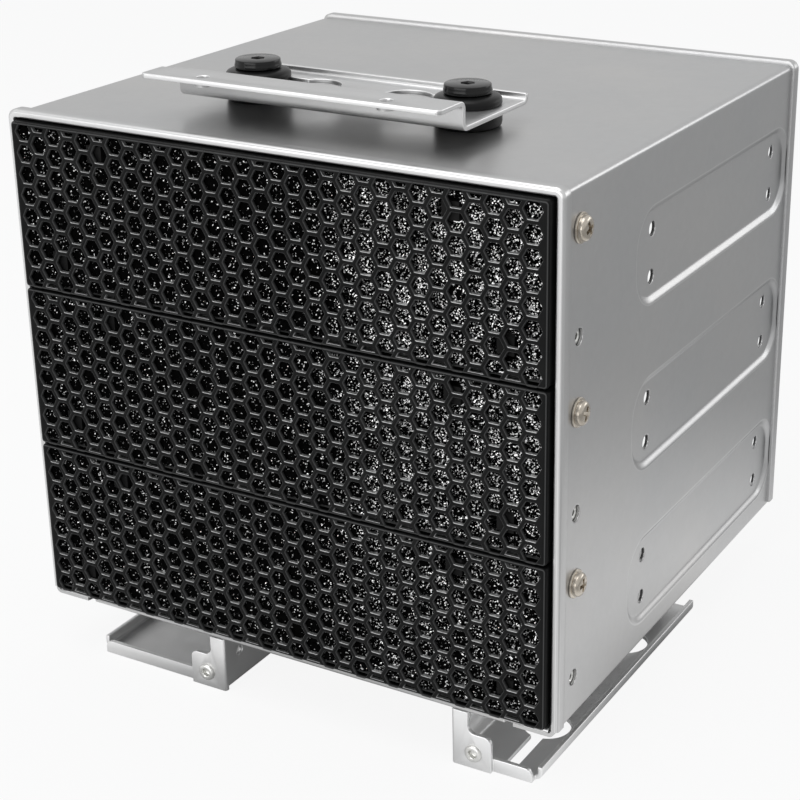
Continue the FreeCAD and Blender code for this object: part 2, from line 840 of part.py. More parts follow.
def filter_frame():
    """Moulded frame of the bottom bay: a ring that the cover fits over, bars, pegs and screw ears."""
    middle = bay_floor(0) + cover_height / 2
    inner = cover_sheet + frame_fit
    ring = cover_block(0, frame_front, frame_back)
    spigot = cover_block(inner, spigot_front, frame_front)
    spigot_back = frame_front + overshoot
    spigot = spigot.cut(cover_block(inner + frame_wall, spigot_front - overshoot, spigot_back))
    half_open_x = cover_width / 2 - frame_border
    half_open_z = cover_height / 2 - frame_border
    low = middle - half_open_z
    high = middle + half_open_z
    window_front = frame_front - overshoot
    window = box(-half_open_x, half_open_x, window_front, frame_back + overshoot, low, high)
    ring = ring.cut(window)
    pieces = [ring, spigot]
    for index in range(frame_bars):
        x = (index - (frame_bars - 1) / 2) * frame_bar_spacing
        half_bar = frame_bar / 2
        pieces.append(box(x - half_bar, x + half_bar, frame_front, frame_back, low, high))
    tip = cover_face_back + frame_fit
    half_peg = peg_side / 2
    for x, z in peg_places():
        pieces.append(
            box(x - half_peg, x + half_peg, tip, frame_back, middle + z - half_peg, middle + z + half_peg)
        )
    frame = join(pieces + [frame_ear(-1), frame_ear(1)])
    holes = []
    y = front + ear_hole_front
    for z in ear_heights(0):
        for side in (-1, 1):
            start = (side * half_outer, y, z)
            end = (side * (half_inner - 2 * ear_thickness), y, z)
            holes.append(rod(screw_diameter + 2 * screw_fit, start, end))
    return cut(frame, holes)


def frame_screw(side, bay):
    """Flanged pan-head screw with a cross recess, through the wall into a frame's upper ear hole."""
    shank = screw_diameter / 2
    flange = screw_flange / 2
    head = screw_head / 2
    profile = [
        (0, -screw_length),
        (shank, -screw_length),
        (shank, 0),
        (flange, 0),
        (flange, screw_flange_edge),
        (head, screw_flange_height),
        (head, screw_head_side),
        (screw_crown / 2, screw_head_height),
        (0, screw_head_height),
    ]
    x = side * half_outer
    y = front + ear_hole_front
    z = ear_heights(bay)[1]
    screw = turned(profile, (x, y, z), x_axis * side)
    low, high = sorted((x + side * (screw_head_height - cross_depth), x + side * 2 * screw_head_height))
    arms = []
    for half_y, half_z in ((cross_span / 2, cross_width / 2), (cross_width / 2, cross_span / 2)):
        arms.append(box(low, high, y - half_y, y + half_y, z - half_z, z + half_z))
    return screw.cut(join(arms))


def frame_screws(side):
    """One screw in each bay on one side of the cage."""
    return Part.Compound([frame_screw(side, bay) for bay in range(bay_count)])


def moved_up(shape, bay):
    """Copy of a bottom-bay piece in another bay."""
    copy = shape.copy()
    copy.translate(z_axis * (bay * bay_pitch))
    return copy


def build():
    """Every piece of the cage by name."""
    pieces = {"cage_shell": cage_shell(), "bottom_plate": bottom_plate()}
    pieces.update(rails())
    plate_rivets = [set_rivet(place, sheet, sheet) for place in plate_rivet_places()]
    rail_rivets = [set_rivet(place, rail_sheet, sheet) for place in rail_rivet_places()]
    pieces["plate_rivets"] = Part.Compound(plate_rivets)
    pieces["rail_rivets"] = Part.Compound(rail_rivets)
    pieces["corner_rivets"] = corner_rivets()
    pieces["top_bracket"] = top_bracket()
    for name, place in zip(("left", "right"), grommet_places()):
        pieces["grommet_" + name] = grommet(place)
        pieces["shoulder_screw_" + name] = shoulder_screw(place)
    pieces["clinch_nuts"] = Part.Compound([clinch_nut(place) for place in grommet_places()])
    pieces["frame_screws_left"] = frame_screws(-1)
    pieces["frame_screws_right"] = frame_screws(1)
    bay_pieces = {"mesh_cover": mesh_cover(), "foam_filter": foam_filter(), "filter_frame": filter_frame()}
    for bay in range(bay_count):
        for name, shape in bay_pieces.items():
            pieces[name + "_" + bay_names[bay]] = moved_up(shape, bay)
    return pieces


os.makedirs("parts", exist_ok=True)
for node, shape in build().items():
    shape.exportStep("parts/" + node + ".step")
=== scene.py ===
import itertools
import logging
import math
from dataclasses import dataclass
from enum import Enum
from typing import Any, Callable, Sequence

import bmesh
import bpy
from mathutils import Matrix, Vector
from mathutils.geometry import delaunay_2d_cdt


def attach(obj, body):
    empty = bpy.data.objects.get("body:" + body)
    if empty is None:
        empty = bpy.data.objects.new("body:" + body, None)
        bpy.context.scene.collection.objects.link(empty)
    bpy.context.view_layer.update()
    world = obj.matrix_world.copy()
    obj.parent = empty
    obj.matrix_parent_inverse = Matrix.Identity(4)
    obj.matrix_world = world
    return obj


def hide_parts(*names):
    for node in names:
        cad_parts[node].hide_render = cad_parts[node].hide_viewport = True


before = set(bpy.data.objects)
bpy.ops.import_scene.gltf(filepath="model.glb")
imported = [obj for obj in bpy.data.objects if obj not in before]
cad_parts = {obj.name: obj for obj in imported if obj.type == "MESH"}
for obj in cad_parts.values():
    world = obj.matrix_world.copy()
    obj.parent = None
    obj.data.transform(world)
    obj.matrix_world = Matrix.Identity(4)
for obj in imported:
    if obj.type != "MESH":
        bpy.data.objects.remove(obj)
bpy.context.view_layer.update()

# Looks of a three-bay drive cage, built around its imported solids. A folded zinc-plated shell stands on two
# channel rails, black hexagon-mesh covers over foam close its front, and a Z-shaped bracket sits on rubber
# grommets on its top. Sizes are in millimetres, in the frame of the solids.

LOG = logging.getLogger("drive_cage")
MM = 0.001
Point = tuple[float, float, float]
Flat = tuple[float, float]
Profile = tuple[Flat, ...]
Colour = tuple[float, float, float, float]
Material = bpy.types.Material
Piece = bpy.types.Object

# Sizes that several sub-assemblies share
WALL = 75.1
FRONT = -71.0
TOP = 147.35
EAR_PLACE = -61.0
BAY_FLOORS = (17.65, 60.55, 103.45)
COVER_HEIGHT = 42.45

# Angle in degrees above which an edge of a mesh stays sharp
CREASE = 38.0

# Range that most values of a noise pattern fall in
NOISE_LOW = 0.3
NOISE_HIGH = 0.7

# Distances in metres under which corners of a mesh become one and an edge is dropped
WELD = 2e-6
SLIVER = 1e-7

# Distance in millimetres under which corners of an outline are one
SAME_POINT = 1e-6


class Side(Enum):
    """Side wall of the cage, with the sign of its X."""

    LEFT = -1
    RIGHT = 1


class Bay(Enum):
    """Drive bay, counted from the bottom."""

    BOTTOM = 0
    MIDDLE = 1
    TOP = 2

    @property
    def label(self) -> str:
        """Name of the bay in the names of its pieces."""
        return self.name.lower()


class Slot(Enum):
    """Material slots of the part's record."""

    CAGE = "cage_zinc"
    RAIL = "rail_zinc"
    RIVET = "rivet_steel"
    SCREW = "screw_nickel"
    OXIDE = "black_oxide"
    RUBBER = "black_rubber"
    PAINT = "black_paint"
    PLASTIC = "black_plastic"
    FOAM = "black_foam"


# Finishes


class Nodes:
    """Node tree that grows one node after another."""

    def __init__(self, tree: bpy.types.NodeTree) -> None:
        """Starts with a tree."""
        self.tree = tree

    def fill(self, node: bpy.types.Node, values: dict[Any, Any]) -> None:
        """Fills inputs of a node.

        Args:
            node: The node.
            values: Constants or outputs for its inputs, by name or number.
        """
        for key, value in values.items():
            if isinstance(value, bpy.types.NodeSocket):
                self.tree.links.new(value, node.inputs[key])
            else:
                node.inputs[key].default_value = value

    def add(self, kind: str, values: dict[Any, Any], **settings: Any) -> Any:
        """Adds a node.

        Args:
            kind: Type of the node.
            values: Constants or outputs for its inputs, by name or number.
            settings: Options of the node.

        Returns:
            The node.
        """
        node = self.tree.nodes.new(kind)
        for name, value in settings.items():
            setattr(node, name, value)
        self.fill(node, values)
        return node

    def sum(self, operation: str, first: Any, second: Any) -> Any:
        """Result of a sum on two numbers, each a constant or an output."""
        return self.add("ShaderNodeMath", {0: first, 1: second}, operation=operation).outputs[0]

    def vector(self, operation: str, first: Any, second: Any) -> Any:
        """Result of a sum on two vectors, each a constant or an output."""
        return self.add("ShaderNodeVectorMath", {0: first, 1: second}, operation=operation).outputs[0]


class Shade(Nodes):
    """Shader nodes of one finish."""

    def __init__(self, name: str) -> None:
        """Starts a material whose patterns follow the piece's own coordinates.

        Args:
            name: Name of the material.
        """
        self.material = bpy.data.materials.new(name)
        self.material.use_nodes = True
        super().__init__(self.material.node_tree)
        self.surface = self.tree.nodes["Principled BSDF"]
        self.place = self.add("ShaderNodeTexCoord", {}).outputs["Object"]

    def set(self, **values: Any) -> None:
        """Sets the surface's inputs, named with underscores for spaces, to constants or outputs."""
        self.fill(self.surface, {name.replace("_", " "): value for name, value in values.items()})

    def stretched(self, scale: Point) -> Any:
        """Coordinates with a factor for each axis, small along the way that a pattern runs."""
        return self.add("ShaderNodeMapping", {"Vector": self.place, "Scale": scale}).outputs["Vector"]

    def noise(self, size: float, detail: float = 2.0, place: Any = None) -> Any:
        """Soft noise, from 0 to 1.

        Args:
            size: Size of a patch in millimetres.
            detail: Octaves of finer noise.
            place: Coordinates, or nothing for the piece's own.

        Returns:
            The noise.
        """
        values = {"Vector": place or self.place, "Scale": 1.0 / (size * MM), "Detail": detail}
        return self.add("ShaderNodeTexNoise", values).outputs["Fac"]

    def cells(self, size: float, feature: str, output: str) -> Any:
        """Cellular pattern.

        Args:
            size: Size of a cell in millimetres.
            feature: Which distance the pattern gives.
            output: Output of the pattern to use.

        Returns:
            The chosen output.
        """
        values = {"Vector": self.place, "Scale": 1.0 / (size * MM)}
        return self.add("ShaderNodeTexVoronoi", values, feature=feature).outputs[output]

    def burnish(self) -> Any:
        """How far the mesh paints the surface bright, as wear and as painted highlight."""
        return self.add("ShaderNodeAttribute", {}, attribute_name="burnish").outputs["Fac"]

    def along(self, axis: str) -> Any:
        """One of the piece's own coordinates, in metres."""
        return self.add("ShaderNodeSeparateXYZ", {0: self.place}).outputs[axis]

    def ranged(self, source: Any, start: float, end: float, low: float, high: float) -> Any:
        """A value brought from one range to another.

        Args:
            source: The value.
            start: Lower end of the value's range.
            end: Upper end of the value's range.
            low: Result at the lower end.
            high: Result at the upper end.

        Returns:
            The result, held within its range.
        """
        values = {"Value": source, "From Min": start, "From Max": end, "To Min": low, "To Max": high}
        return self.add("ShaderNodeMapRange", values).outputs["Result"]

    def spread(self, noise: Any, low: float, high: float) -> Any:
        """A noise pattern brought to a range of its own."""
        return self.ranged(noise, NOISE_LOW, NOISE_HIGH, low, high)

    def length(self, source: Any) -> Any:
        """Length of a vector."""
        return self.add("ShaderNodeVectorMath", {0: source}, operation="LENGTH").outputs["Value"]

    def blended(self, share: Any, first: Any, second: Any) -> Any:
        """Two colours, each a constant or an output, blended by the share of the second."""
        return self.add("ShaderNodeMix", {0: share, 6: first, 7: second}, data_type="RGBA").outputs[2]

    def relief(self, pattern: Any, height: float) -> None:
        """Raises the surface by a pattern, up to a height in millimetres."""
        bump = self.add("ShaderNodeBump", {"Height": pattern, "Distance": height * MM})
        self.set(Normal=bump.outputs["Normal"])


def grey(level: float, warmth: float = 0.0) -> Colour:
    """Grey of a linear level, turned warmer or cooler by a small share."""
    return (level * (1 + warmth), level, level * (1 - warmth), 1.0)


@dataclass(frozen=True)
class PlatedSheet:
    """Zinc-plated steel sheet: cloudy satin grey with a fine rolled grain."""

    name: str
    level: float
    warmth: float
    cloud: float
    gloss: float
    gloss_swing: float
    cloud_size: float = 46.0
    rubs_per_cloud: float = 7.0
    spangle_size: float = 1.7
    spangle_share: float = 0.04
    grain_size: float = 0.35
    grain_height: float = 0.0007
    grain_run: float = 0.07
    bare_and_highlight_level: float = 0.93
    metal: float = 0.86
    sheen: float = 0.85

    def material(self) -> Material:
        """Builds the finish.

        Returns:
            The material.
        """
        shade = Shade(self.name)
        cloud = shade.spread(shade.noise(self.cloud_size, detail=4.0), 0.0, 1.0)
        dark = grey(self.level * (1 - self.cloud), self.warmth)
        light = grey(self.level * (1 + self.cloud), -self.warmth)
        spangle = shade.cells(self.spangle_size, "F1", "Color")
        fleck = shade.ranged(spangle, 0.0, 1.0, 0.0, self.spangle_share)
        plated = shade.blended(fleck, shade.blended(cloud, dark, light), grey(1.0))
        rub = shade.noise(self.cloud_size / self.rubs_per_cloud, detail=5.0)
        rolled = shade.stretched((1.0, self.grain_run, 1.0))
        shade.relief(shade.noise(self.grain_size, detail=3.0, place=rolled), self.grain_height)
        # Painted highlight and wear: marked corners turn near-white, as worn cut edges and as painted
        # highlights on hems, creases and eased edges
        shade.set(
            Base_Color=shade.blended(shade.burnish(), plated, grey(self.bare_and_highlight_level)),
            Roughness=shade.spread(rub, self.gloss - self.gloss_swing, self.gloss + self.gloss_swing),
            Metallic=self.metal,
            Specular_Tint=grey(self.sheen),
        )
        return shade.material


@dataclass(frozen=True)
class BlackCoat:
    """Black coat on metal or a moulded black face, with a fine grain that breaks up its gloss."""

    name: str
    level: float
    gloss: float
    grain_size: float
    grain_height: float
    specular: float
    dust: float = 0.02
    rubbed_and_highlit: float = 0.16
    gloss_swing: float = 0.06
    haze_size: float = 17.0
    dust_from: float = 0.45
    dust_full: float = 0.75
    coat_warmth: float = -0.03
    dust_level: float = 0.5
    dust_warmth: float = 0.05

    def material(self) -> Material:
        """Builds the finish.

        Returns:
            The material.
        """
        shade = Shade(self.name)
        haze = shade.noise(self.haze_size, detail=4.0)
        dusty = shade.ranged(haze, self.dust_from, self.dust_full, 0.0, self.dust)
        clean = grey(self.level, self.coat_warmth)
        coat = shade.blended(dusty, clean, grey(self.dust_level, self.dust_warmth))
        shade.relief(shade.noise(self.grain_size, detail=3.0), self.grain_height)
        # Painted highlight: marked corners turn a metallic grey, as glints on the hole rims and on their
        # lower, upward-facing sides
        shade.set(
            Base_Color=shade.blended(shade.burnish(), coat, grey(self.rubbed_and_highlit)),
            Roughness=shade.spread(haze, self.gloss - self.gloss_swing, self.gloss + self.gloss_swing),
            Metallic=shade.burnish(),
            Specular_IOR_Level=self.specular,
        )
        return shade.material


@dataclass(frozen=True)
class TurnedMetal:
    """Plated fastener: bright metal with faint turning marks and darker stains."""

    name: str
    colour: Colour
    stain: Colour
    gloss: float
    stain_size: float = 1.8
    stain_from: float = 0.4
    stain_full: float = 0.75
    stain_share: float = 0.55
    smoother: float = 0.05
    rougher: float = 0.12
    mark_size: float = 0.22
    mark_height: float = 0.006

    def material(self) -> Material:
        """Builds the finish.

        Returns:
            The material.
        """
        shade = Shade(self.name)
        patches = shade.noise(self.stain_size, detail=4.0)
        stained = shade.ranged(patches, self.stain_from, self.stain_full, 0.0, self.stain_share)
        shade.relief(shade.noise(self.mark_size), self.mark_height)
        shade.set(
            Base_Color=shade.blended(stained, self.colour, self.stain),
            Roughness=shade.spread(patches, self.gloss - self.smoother, self.gloss + self.rougher),
            Metallic=1.0,
        )
        return shade.material


@dataclass(frozen=True)
class OpenFoam:
    """Black open-cell foam: dark cells between shiny struts that glint in the light."""

    name: str
    dark: float
    glint: float
    cell_size: float
    strut_height: float = 0.25
    speck_size: float = 0.29
    lit_from: float = 0.84
    lit_full: float = 0.88
    # Painted light: glinting specks crowd towards the right and the top, from and to these places in
    # millimetres
    painted_light_start: float = 8.0
    painted_light_full: float = 30.0
    crowd: float = 0.14
    fade_low: float = 20.0
    fade_high: float = 95.0
    low_crowd: float = 0.45
    drift_size: float = 7.0
    drift_full: float = 0.6
    faint_glint: float = 0.5
    dark_roughness: float = 0.9
    lit_roughness: float = 0.4
    specular: float = 0.03

    def lit(self, shade: Shade) -> Any:
        """Where specks of strut glint, more of them towards the right and the top as painted light.

        Args:
            shade: Nodes of the finish.

        Returns:
            The share of light, from 0 to 1.
        """
        speck = shade.cells(self.speck_size, "F1", "Color")
        x, z = shade.along("X"), shade.along("Z")
        across = shade.ranged(x, self.painted_light_start * MM, self.painted_light_full * MM, 0.0, self.crowd)
        painted_light_upwards = shade.ranged(z, self.fade_low * MM, self.fade_high * MM, self.low_crowd, 1.0)
        # Painted light: more specks glint to the right and higher up, as if lit from there
        crowded = shade.sum("ADD", speck, shade.sum("MULTIPLY", across, painted_light_upwards))
        return shade.ranged(crowded, self.lit_from, self.lit_full, 0.0, 1.0)

    def material(self) -> Material:
        """Builds the finish.

        Returns:
            The material.
        """
        shade = Shade(self.name)
        lit = self.lit(shade)
        drift = shade.noise(self.drift_size)
        bright = shade.ranged(drift, NOISE_LOW, self.drift_full, self.faint_glint, 1.0)
        glints = shade.blended(bright, grey(self.dark), grey(self.glint))
        shade.relief(shade.cells(self.cell_size, "DISTANCE_TO_EDGE", "Distance"), self.strut_height)
        shade.set(
            Base_Color=shade.blended(lit, grey(self.dark), glints),
            Roughness=shade.ranged(lit, 0.0, 1.0, self.dark_roughness, self.lit_roughness),
            Metallic=lit,
            Specular_IOR_Level=self.specular,
        )
        return shade.material


class Finishes:
    """Every finish of the cage, made once."""

    def __init__(self) -> None:
        """Builds the materials."""
        self.cage = PlatedSheet(
            "satin_zinc_shell", level=0.56, warmth=-0.008, cloud=0.03, gloss=0.3, gloss_swing=0.015
        ).material()
        bright = {"warmth": 0.004, "cloud": 0.04, "gloss": 0.34, "gloss_swing": 0.03, "cloud_size": 30.0}
        self.rail = PlatedSheet("bright_zinc_rail", level=0.8, **bright).material()
        self.bracket = PlatedSheet("bright_zinc_bracket", level=0.64, **bright).material()
        self.paint = BlackCoat(
            "satin_black_mesh",
            level=0.006,
            gloss=0.34,
            grain_size=0.3,
            grain_height=0.012,
            specular=0.09,
            dust=0.01,
            rubbed_and_highlit=0.8,
        ).material()
        self.plastic = BlackCoat(
            "moulded_black_frame", level=0.004, gloss=0.55, grain_size=0.5, grain_height=0.03, specular=0.12
        ).material()
        self.rubber = BlackCoat(
            "soft_black_grommet", level=0.006, gloss=0.34, grain_size=0.4, grain_height=0.008, specular=0.22
        ).material()
        self.oxide = BlackCoat(
            "black_oxide_screw", level=0.006, gloss=0.18, grain_size=0.35, grain_height=0.003, specular=0.3
        ).material()
        warm, brown = (0.6, 0.55, 0.48, 1.0), (0.26, 0.22, 0.17, 1.0)
        self.nickel = TurnedMetal("warm_nickel_screw", warm, brown, gloss=0.2).material()
        pale, dull = (0.8, 0.8, 0.78, 1.0), (0.52, 0.52, 0.5, 1.0)
        self.rivet = TurnedMetal("bright_rivet", pale, dull, gloss=0.26).material()
        self.foam = OpenFoam("black_open_foam", dark=0.0015, glint=0.95, cell_size=1.25).material()


# Mesh making


def grown(loop: Sequence[Flat], distance: float) -> list[Flat]:
    """Convex outline moved outwards.

    Args:
        loop: Corners, counter-clockwise.
        distance: How far each edge moves, inwards where it is negative.

    Returns:
        The moved corners.
    """
    moved = []
    count = len(loop)
    for index, (x, y) in enumerate(loop):
        before = (Vector((x, y)) - Vector(loop[index - 1])).normalized()
        after = (Vector(loop[(index + 1) % count]) - Vector((x, y))).normalized()
        out_before = Vector((before.y, -before.x))
        out_after = Vector((after.y, -after.x))
        step = (out_before + out_after) * (distance / (1 + out_before.dot(out_after)))
        moved.append((x + step.x, y + step.y))
    return moved


def rounded_outline(half_u: float, half_v: float, radius: float, segments: int) -> list[Flat]:
    """Rounded rectangle about the origin, counter-clockwise.

    Args:
        half_u: Half its width.
        half_v: Half its height.
        radius: Radius of its corners.
        segments: Steps round each corner.

    Returns:
        Its corners.
    """
    loop = []
    for corner, (su, sv) in enumerate(((1, 1), (-1, 1), (-1, -1), (1, -1))):
        for step in range(segments + 1):
            angle = math.pi / 2 * (corner + step / segments)
            u = su * (half_u - radius) + radius * math.cos(angle)
            v = sv * (half_v - radius) + radius * math.sin(angle)
            loop.append((u, v))
    return loop


def circle(radius: float, count: int = 24) -> list[Flat]:
    """Circle about the origin, counter-clockwise."""
    turns = [2 * math.pi * step / count for step in range(count)]
    return [(radius * math.cos(turn), radius * math.sin(turn)) for turn in turns]


def shifted(loop: Sequence[Flat], u: float, v: float) -> list[Flat]:
    """Outline moved to another middle."""
    return [(a + u, b + v) for a, b in loop]


class Build:
    """Points and faces of one piece, gathered in millimetres before they become a mesh."""

    def __init__(self) -> None:
        """Starts with nothing."""
        self.points: list[Point] = []
        self.faces: list[list[int]] = []
        self.burnish: dict[int, float] = {}

    def face(self, corners: Sequence[Point]) -> None:
        """Adds one face.

        Args:
            corners: Its corners in order.
        """
        start = len(self.points)
        self.points.extend(corners)
        self.faces.append(list(range(start, len(self.points))))

    def strip(
        self, rows: Sequence[Sequence[Point]], closed: bool = False, burnish: Sequence[float] = ()
    ) -> None:
        """Adds four-sided faces between neighbouring rows of points.

        Args:
            rows: Rows of equal length.
            closed: Whether the last point of each row joins the first.
            burnish: Share of each row painted bright, as wear and painted highlight, from 0 to 1, or nothing.
        """
        start = len(self.points)
        width = len(rows[0])
        for line, row in enumerate(rows):
            if burnish:
                self.burnish.update({len(self.points) + step: burnish[line] for step in range(width)})
            self.points.extend(row)
        for line in range(len(rows) - 1):
            for step in range(width if closed else width - 1):
                following = (step + 1) % width
                low = start + line * width
                high = low + width
                self.faces.append([low + step, low + following, high + following, high + step])

    def panel(
        self, outline: Sequence[Flat], holes: Sequence[Sequence[Flat]], place: Callable[[float, float], Point]
    ) -> None:
        """Adds a flat sheet with holes, in triangles.

        Args:
            outline: Outer edge.
            holes: Edges of the holes.
            place: Gives the point for a flat position.
        """
        loops = [list(outline)] + [list(hole) for hole in holes]
        corners = [Vector(corner) for loop in loops for corner in loop]
        rings = []
        for loop in loops:
            begin = rings[-1][-1] + 1 if rings else 0
            rings.append(list(range(begin, begin + len(loop))))
        flat, _, triangles, _, _, owners = delaunay_2d_cdt(corners, [], rings, 1, SAME_POINT, True)
        start = len(self.points)
        self.points.extend(place(corner.x, corner.y) for corner in flat)
        for triangle, owner in zip(triangles, owners):
            if list(owner) == [0]:
                self.faces.append([start + index for index in triangle])

    def mirrored(self) -> None:
        """Adds the mirror image on the other side of X = 0."""
        start = len(self.points)
        self.points.extend([(-x, y, z) for x, y, z in self.points])
        self.faces.extend([[start + index for index in face] for face in list(self.faces)])

    def solid(self, rows: Sequence[Sequence[Point]]) -> None:
        """Adds a body round an axis, closed by its first and its last ring.

        Args:
            rows: Rings of equal length.
        """
        self.strip(rows, True)
        for row in (rows[0], rows[-1]):
            self.face(row)

    def piece(self, name: str, material: Material) -> Piece:
        """Turns what was gathered into an object.

        Args:
            name: Name of the object.
            material: Its finish.

        Returns:
            The object, at the origin, with its place in its mesh.
        """
        mesh = bpy.data.meshes.new(name)
        mesh.from_pydata([(x * MM, y * MM, z * MM) for x, y, z in self.points], [], self.faces)
        rubbed_and_highlit = mesh.attributes.new("burnish", "FLOAT", "POINT")
        rubbed_and_highlit.data.foreach_set("value", [self.burnish.get(index, 0.0) for index in range(len(self.points))])
        joined = bmesh.new()
        joined.from_mesh(mesh)
        bmesh.ops.remove_doubles(joined, verts=joined.verts, dist=WELD)
        bmesh.ops.dissolve_degenerate(joined, edges=joined.edges, dist=SLIVER)
        bmesh.ops.recalc_face_normals(joined, faces=joined.faces)
        joined.to_mesh(mesh)
        joined.free()
        return shown(name, mesh, material)


def added(name: str, data: Any) -> Piece:
    """Puts an object into the scene.

    Args:
        name: Name of the object.
        data: Its mesh, lamp or camera.

    Returns:
        The object.
    """
    piece = bpy.data.objects.new(name, data)
    bpy.context.scene.collection.objects.link(piece)
    return piece


def shown(name: str, mesh: bpy.types.Mesh, material: Material, crease: float = CREASE) -> Piece:
    """Object for a finished mesh, smooth apart from its sharp edges.

    Args:
        name: Name of the object.
        mesh: Its mesh.
        material: Its finish.
        crease: Angle in degrees above which an edge stays sharp.

    Returns:
        The object.
    """
    mesh.materials.clear()
    mesh.materials.append(material)
    mesh.polygons.foreach_set("use_smooth", [True] * len(mesh.polygons))
    mesh.set_sharp_from_angle(angle=math.radians(crease))
    return added(name, mesh)


def turned_rings(profile: Sequence[Flat], count: int) -> list[list[Point]]:
    """Rings of points about Z.

    Args:
        profile: Radius and height of each ring.
        count: Points in a ring.

    Returns:
        The rings.
    """
    return [[(u, v, height) for u, v in circle(radius, count)] for radius, height in profile]


def lathe(profile: Sequence[Flat], count: int) -> Build:
    """Solid of revolution about Z.

    Args:
        profile: Points of radius and height, from one end of the solid to the other.
        count: Steps round the axis.

    Returns:
        The gathered faces.
    """
    turned = Build()
    pole = 1e-5
    turned.solid(turned_rings([(max(radius, pole), height) for radius, height in profile], count))
    return turned


def evaluated(holder: Piece) -> bpy.types.Mesh:
    """Mesh that an object's modifiers give, with the object and its modifiers removed.

    Args:
        holder: Object with live modifiers.

    Returns:
        A plain mesh.
    """
    graph = bpy.context.evaluated_depsgraph_get()
    mesh = bpy.data.meshes.new_from_object(holder.evaluated_get(graph), depsgraph=graph)
    holder.modifiers.clear()
    bpy.data.objects.remove(holder)
    return mesh


def carved(body: Piece, tool: Piece, material: Material) -> Piece:
    """Body with a tool's shape taken out of it.

    Args:
        body: Object to carve, used up.
        tool: Shape to take out, used up.
        material: Finish of the result.

    Returns:
        The carved object.
    """
    name = body.name
    cut = body.modifiers.new("recess", "BOOLEAN")
    cut.operation = "DIFFERENCE"
    cut.solver = "EXACT"
    cut.object = tool
    mesh = evaluated(body)
    bpy.data.objects.remove(tool)
    return shown(name, mesh, material)


class Recipe(Nodes):
    """Geometry Nodes tree with named inputs for its sizes."""

    def __init__(self, name: str) -> None:
        """Starts a tree with the object's own geometry as its first input.

        Args:
            name: Name of the tree.
        """
        super().__init__(bpy.data.node_groups.new(name, "GeometryNodeTree"))
        self.tree.is_modifier = True
        for way in ("INPUT", "OUTPUT"):
            self.tree.interface.new_socket("Geometry", in_out=way, socket_type="NodeSocketGeometry")
        self.entry = self.add("NodeGroupInput", {})
        self.exit = self.add("NodeGroupOutput", {})
        self.identifiers: dict[str, str] = {}

    def size(self, name: str, kind: str) -> Any:
        """Adds a named input.

        Args:
            name: Name of the input.
            kind: Kind of value, such as Float, Int, Vector, Object or Material.

        Returns:
            The socket that gives its value in the tree.
        """
        item = self.tree.interface.new_socket(name, in_out="INPUT", socket_type="NodeSocket" + kind)
        self.identifiers[name] = item.identifier
        return self.entry.outputs[name]

    def scaled(self, vector: Any, factor: Any) -> Any:
        """A vector times a number."""
        return self.add("ShaderNodeVectorMath", {0: vector, "Scale": factor}, operation="SCALE").outputs[0]

    def repeated(self, thing: Any, points: Any, **turn: Any) -> Any:
        """Copies of an object on points.

        Args:
            thing: Output with the object.
            points: Output with the points.
            turn: Rotation of the copies, where they have one.

        Returns:
            The copies, as real geometry.
        """
        shape = self.add("GeometryNodeObjectInfo", {"Object": thing, "As Instance": True}).outputs["Geometry"]
        copies = self.add("GeometryNodeInstanceOnPoints", {"Points": points, "Instance": shape, **turn})
        return self.add("GeometryNodeRealizeInstances", {0: copies.outputs[0]}).outputs[0]

    def close(self, geometry: Any, material: Any) -> None:
        """Ends the tree with its geometry and its finish, both outputs."""
        finished = self.add("GeometryNodeSetMaterial", {"Geometry": geometry, "Material": material})
        self.fill(self.exit, {0: finished.outputs[0]})

    def mesh(self, base: bpy.types.Mesh, values: dict[str, Any]) -> bpy.types.Mesh:
        """Runs the tree on a mesh.

        Args:
            base: Mesh that the tree starts from.
            values: Value of each named input.

        Returns:
            A plain mesh.
        """
        holder = added(self.tree.name, base)
        grow = holder.modifiers.new(self.tree.name, "NODES")
        grow.node_group = self.tree
        for name, value in values.items():
            grow[self.identifiers[name]] = value
        return evaluated(holder)


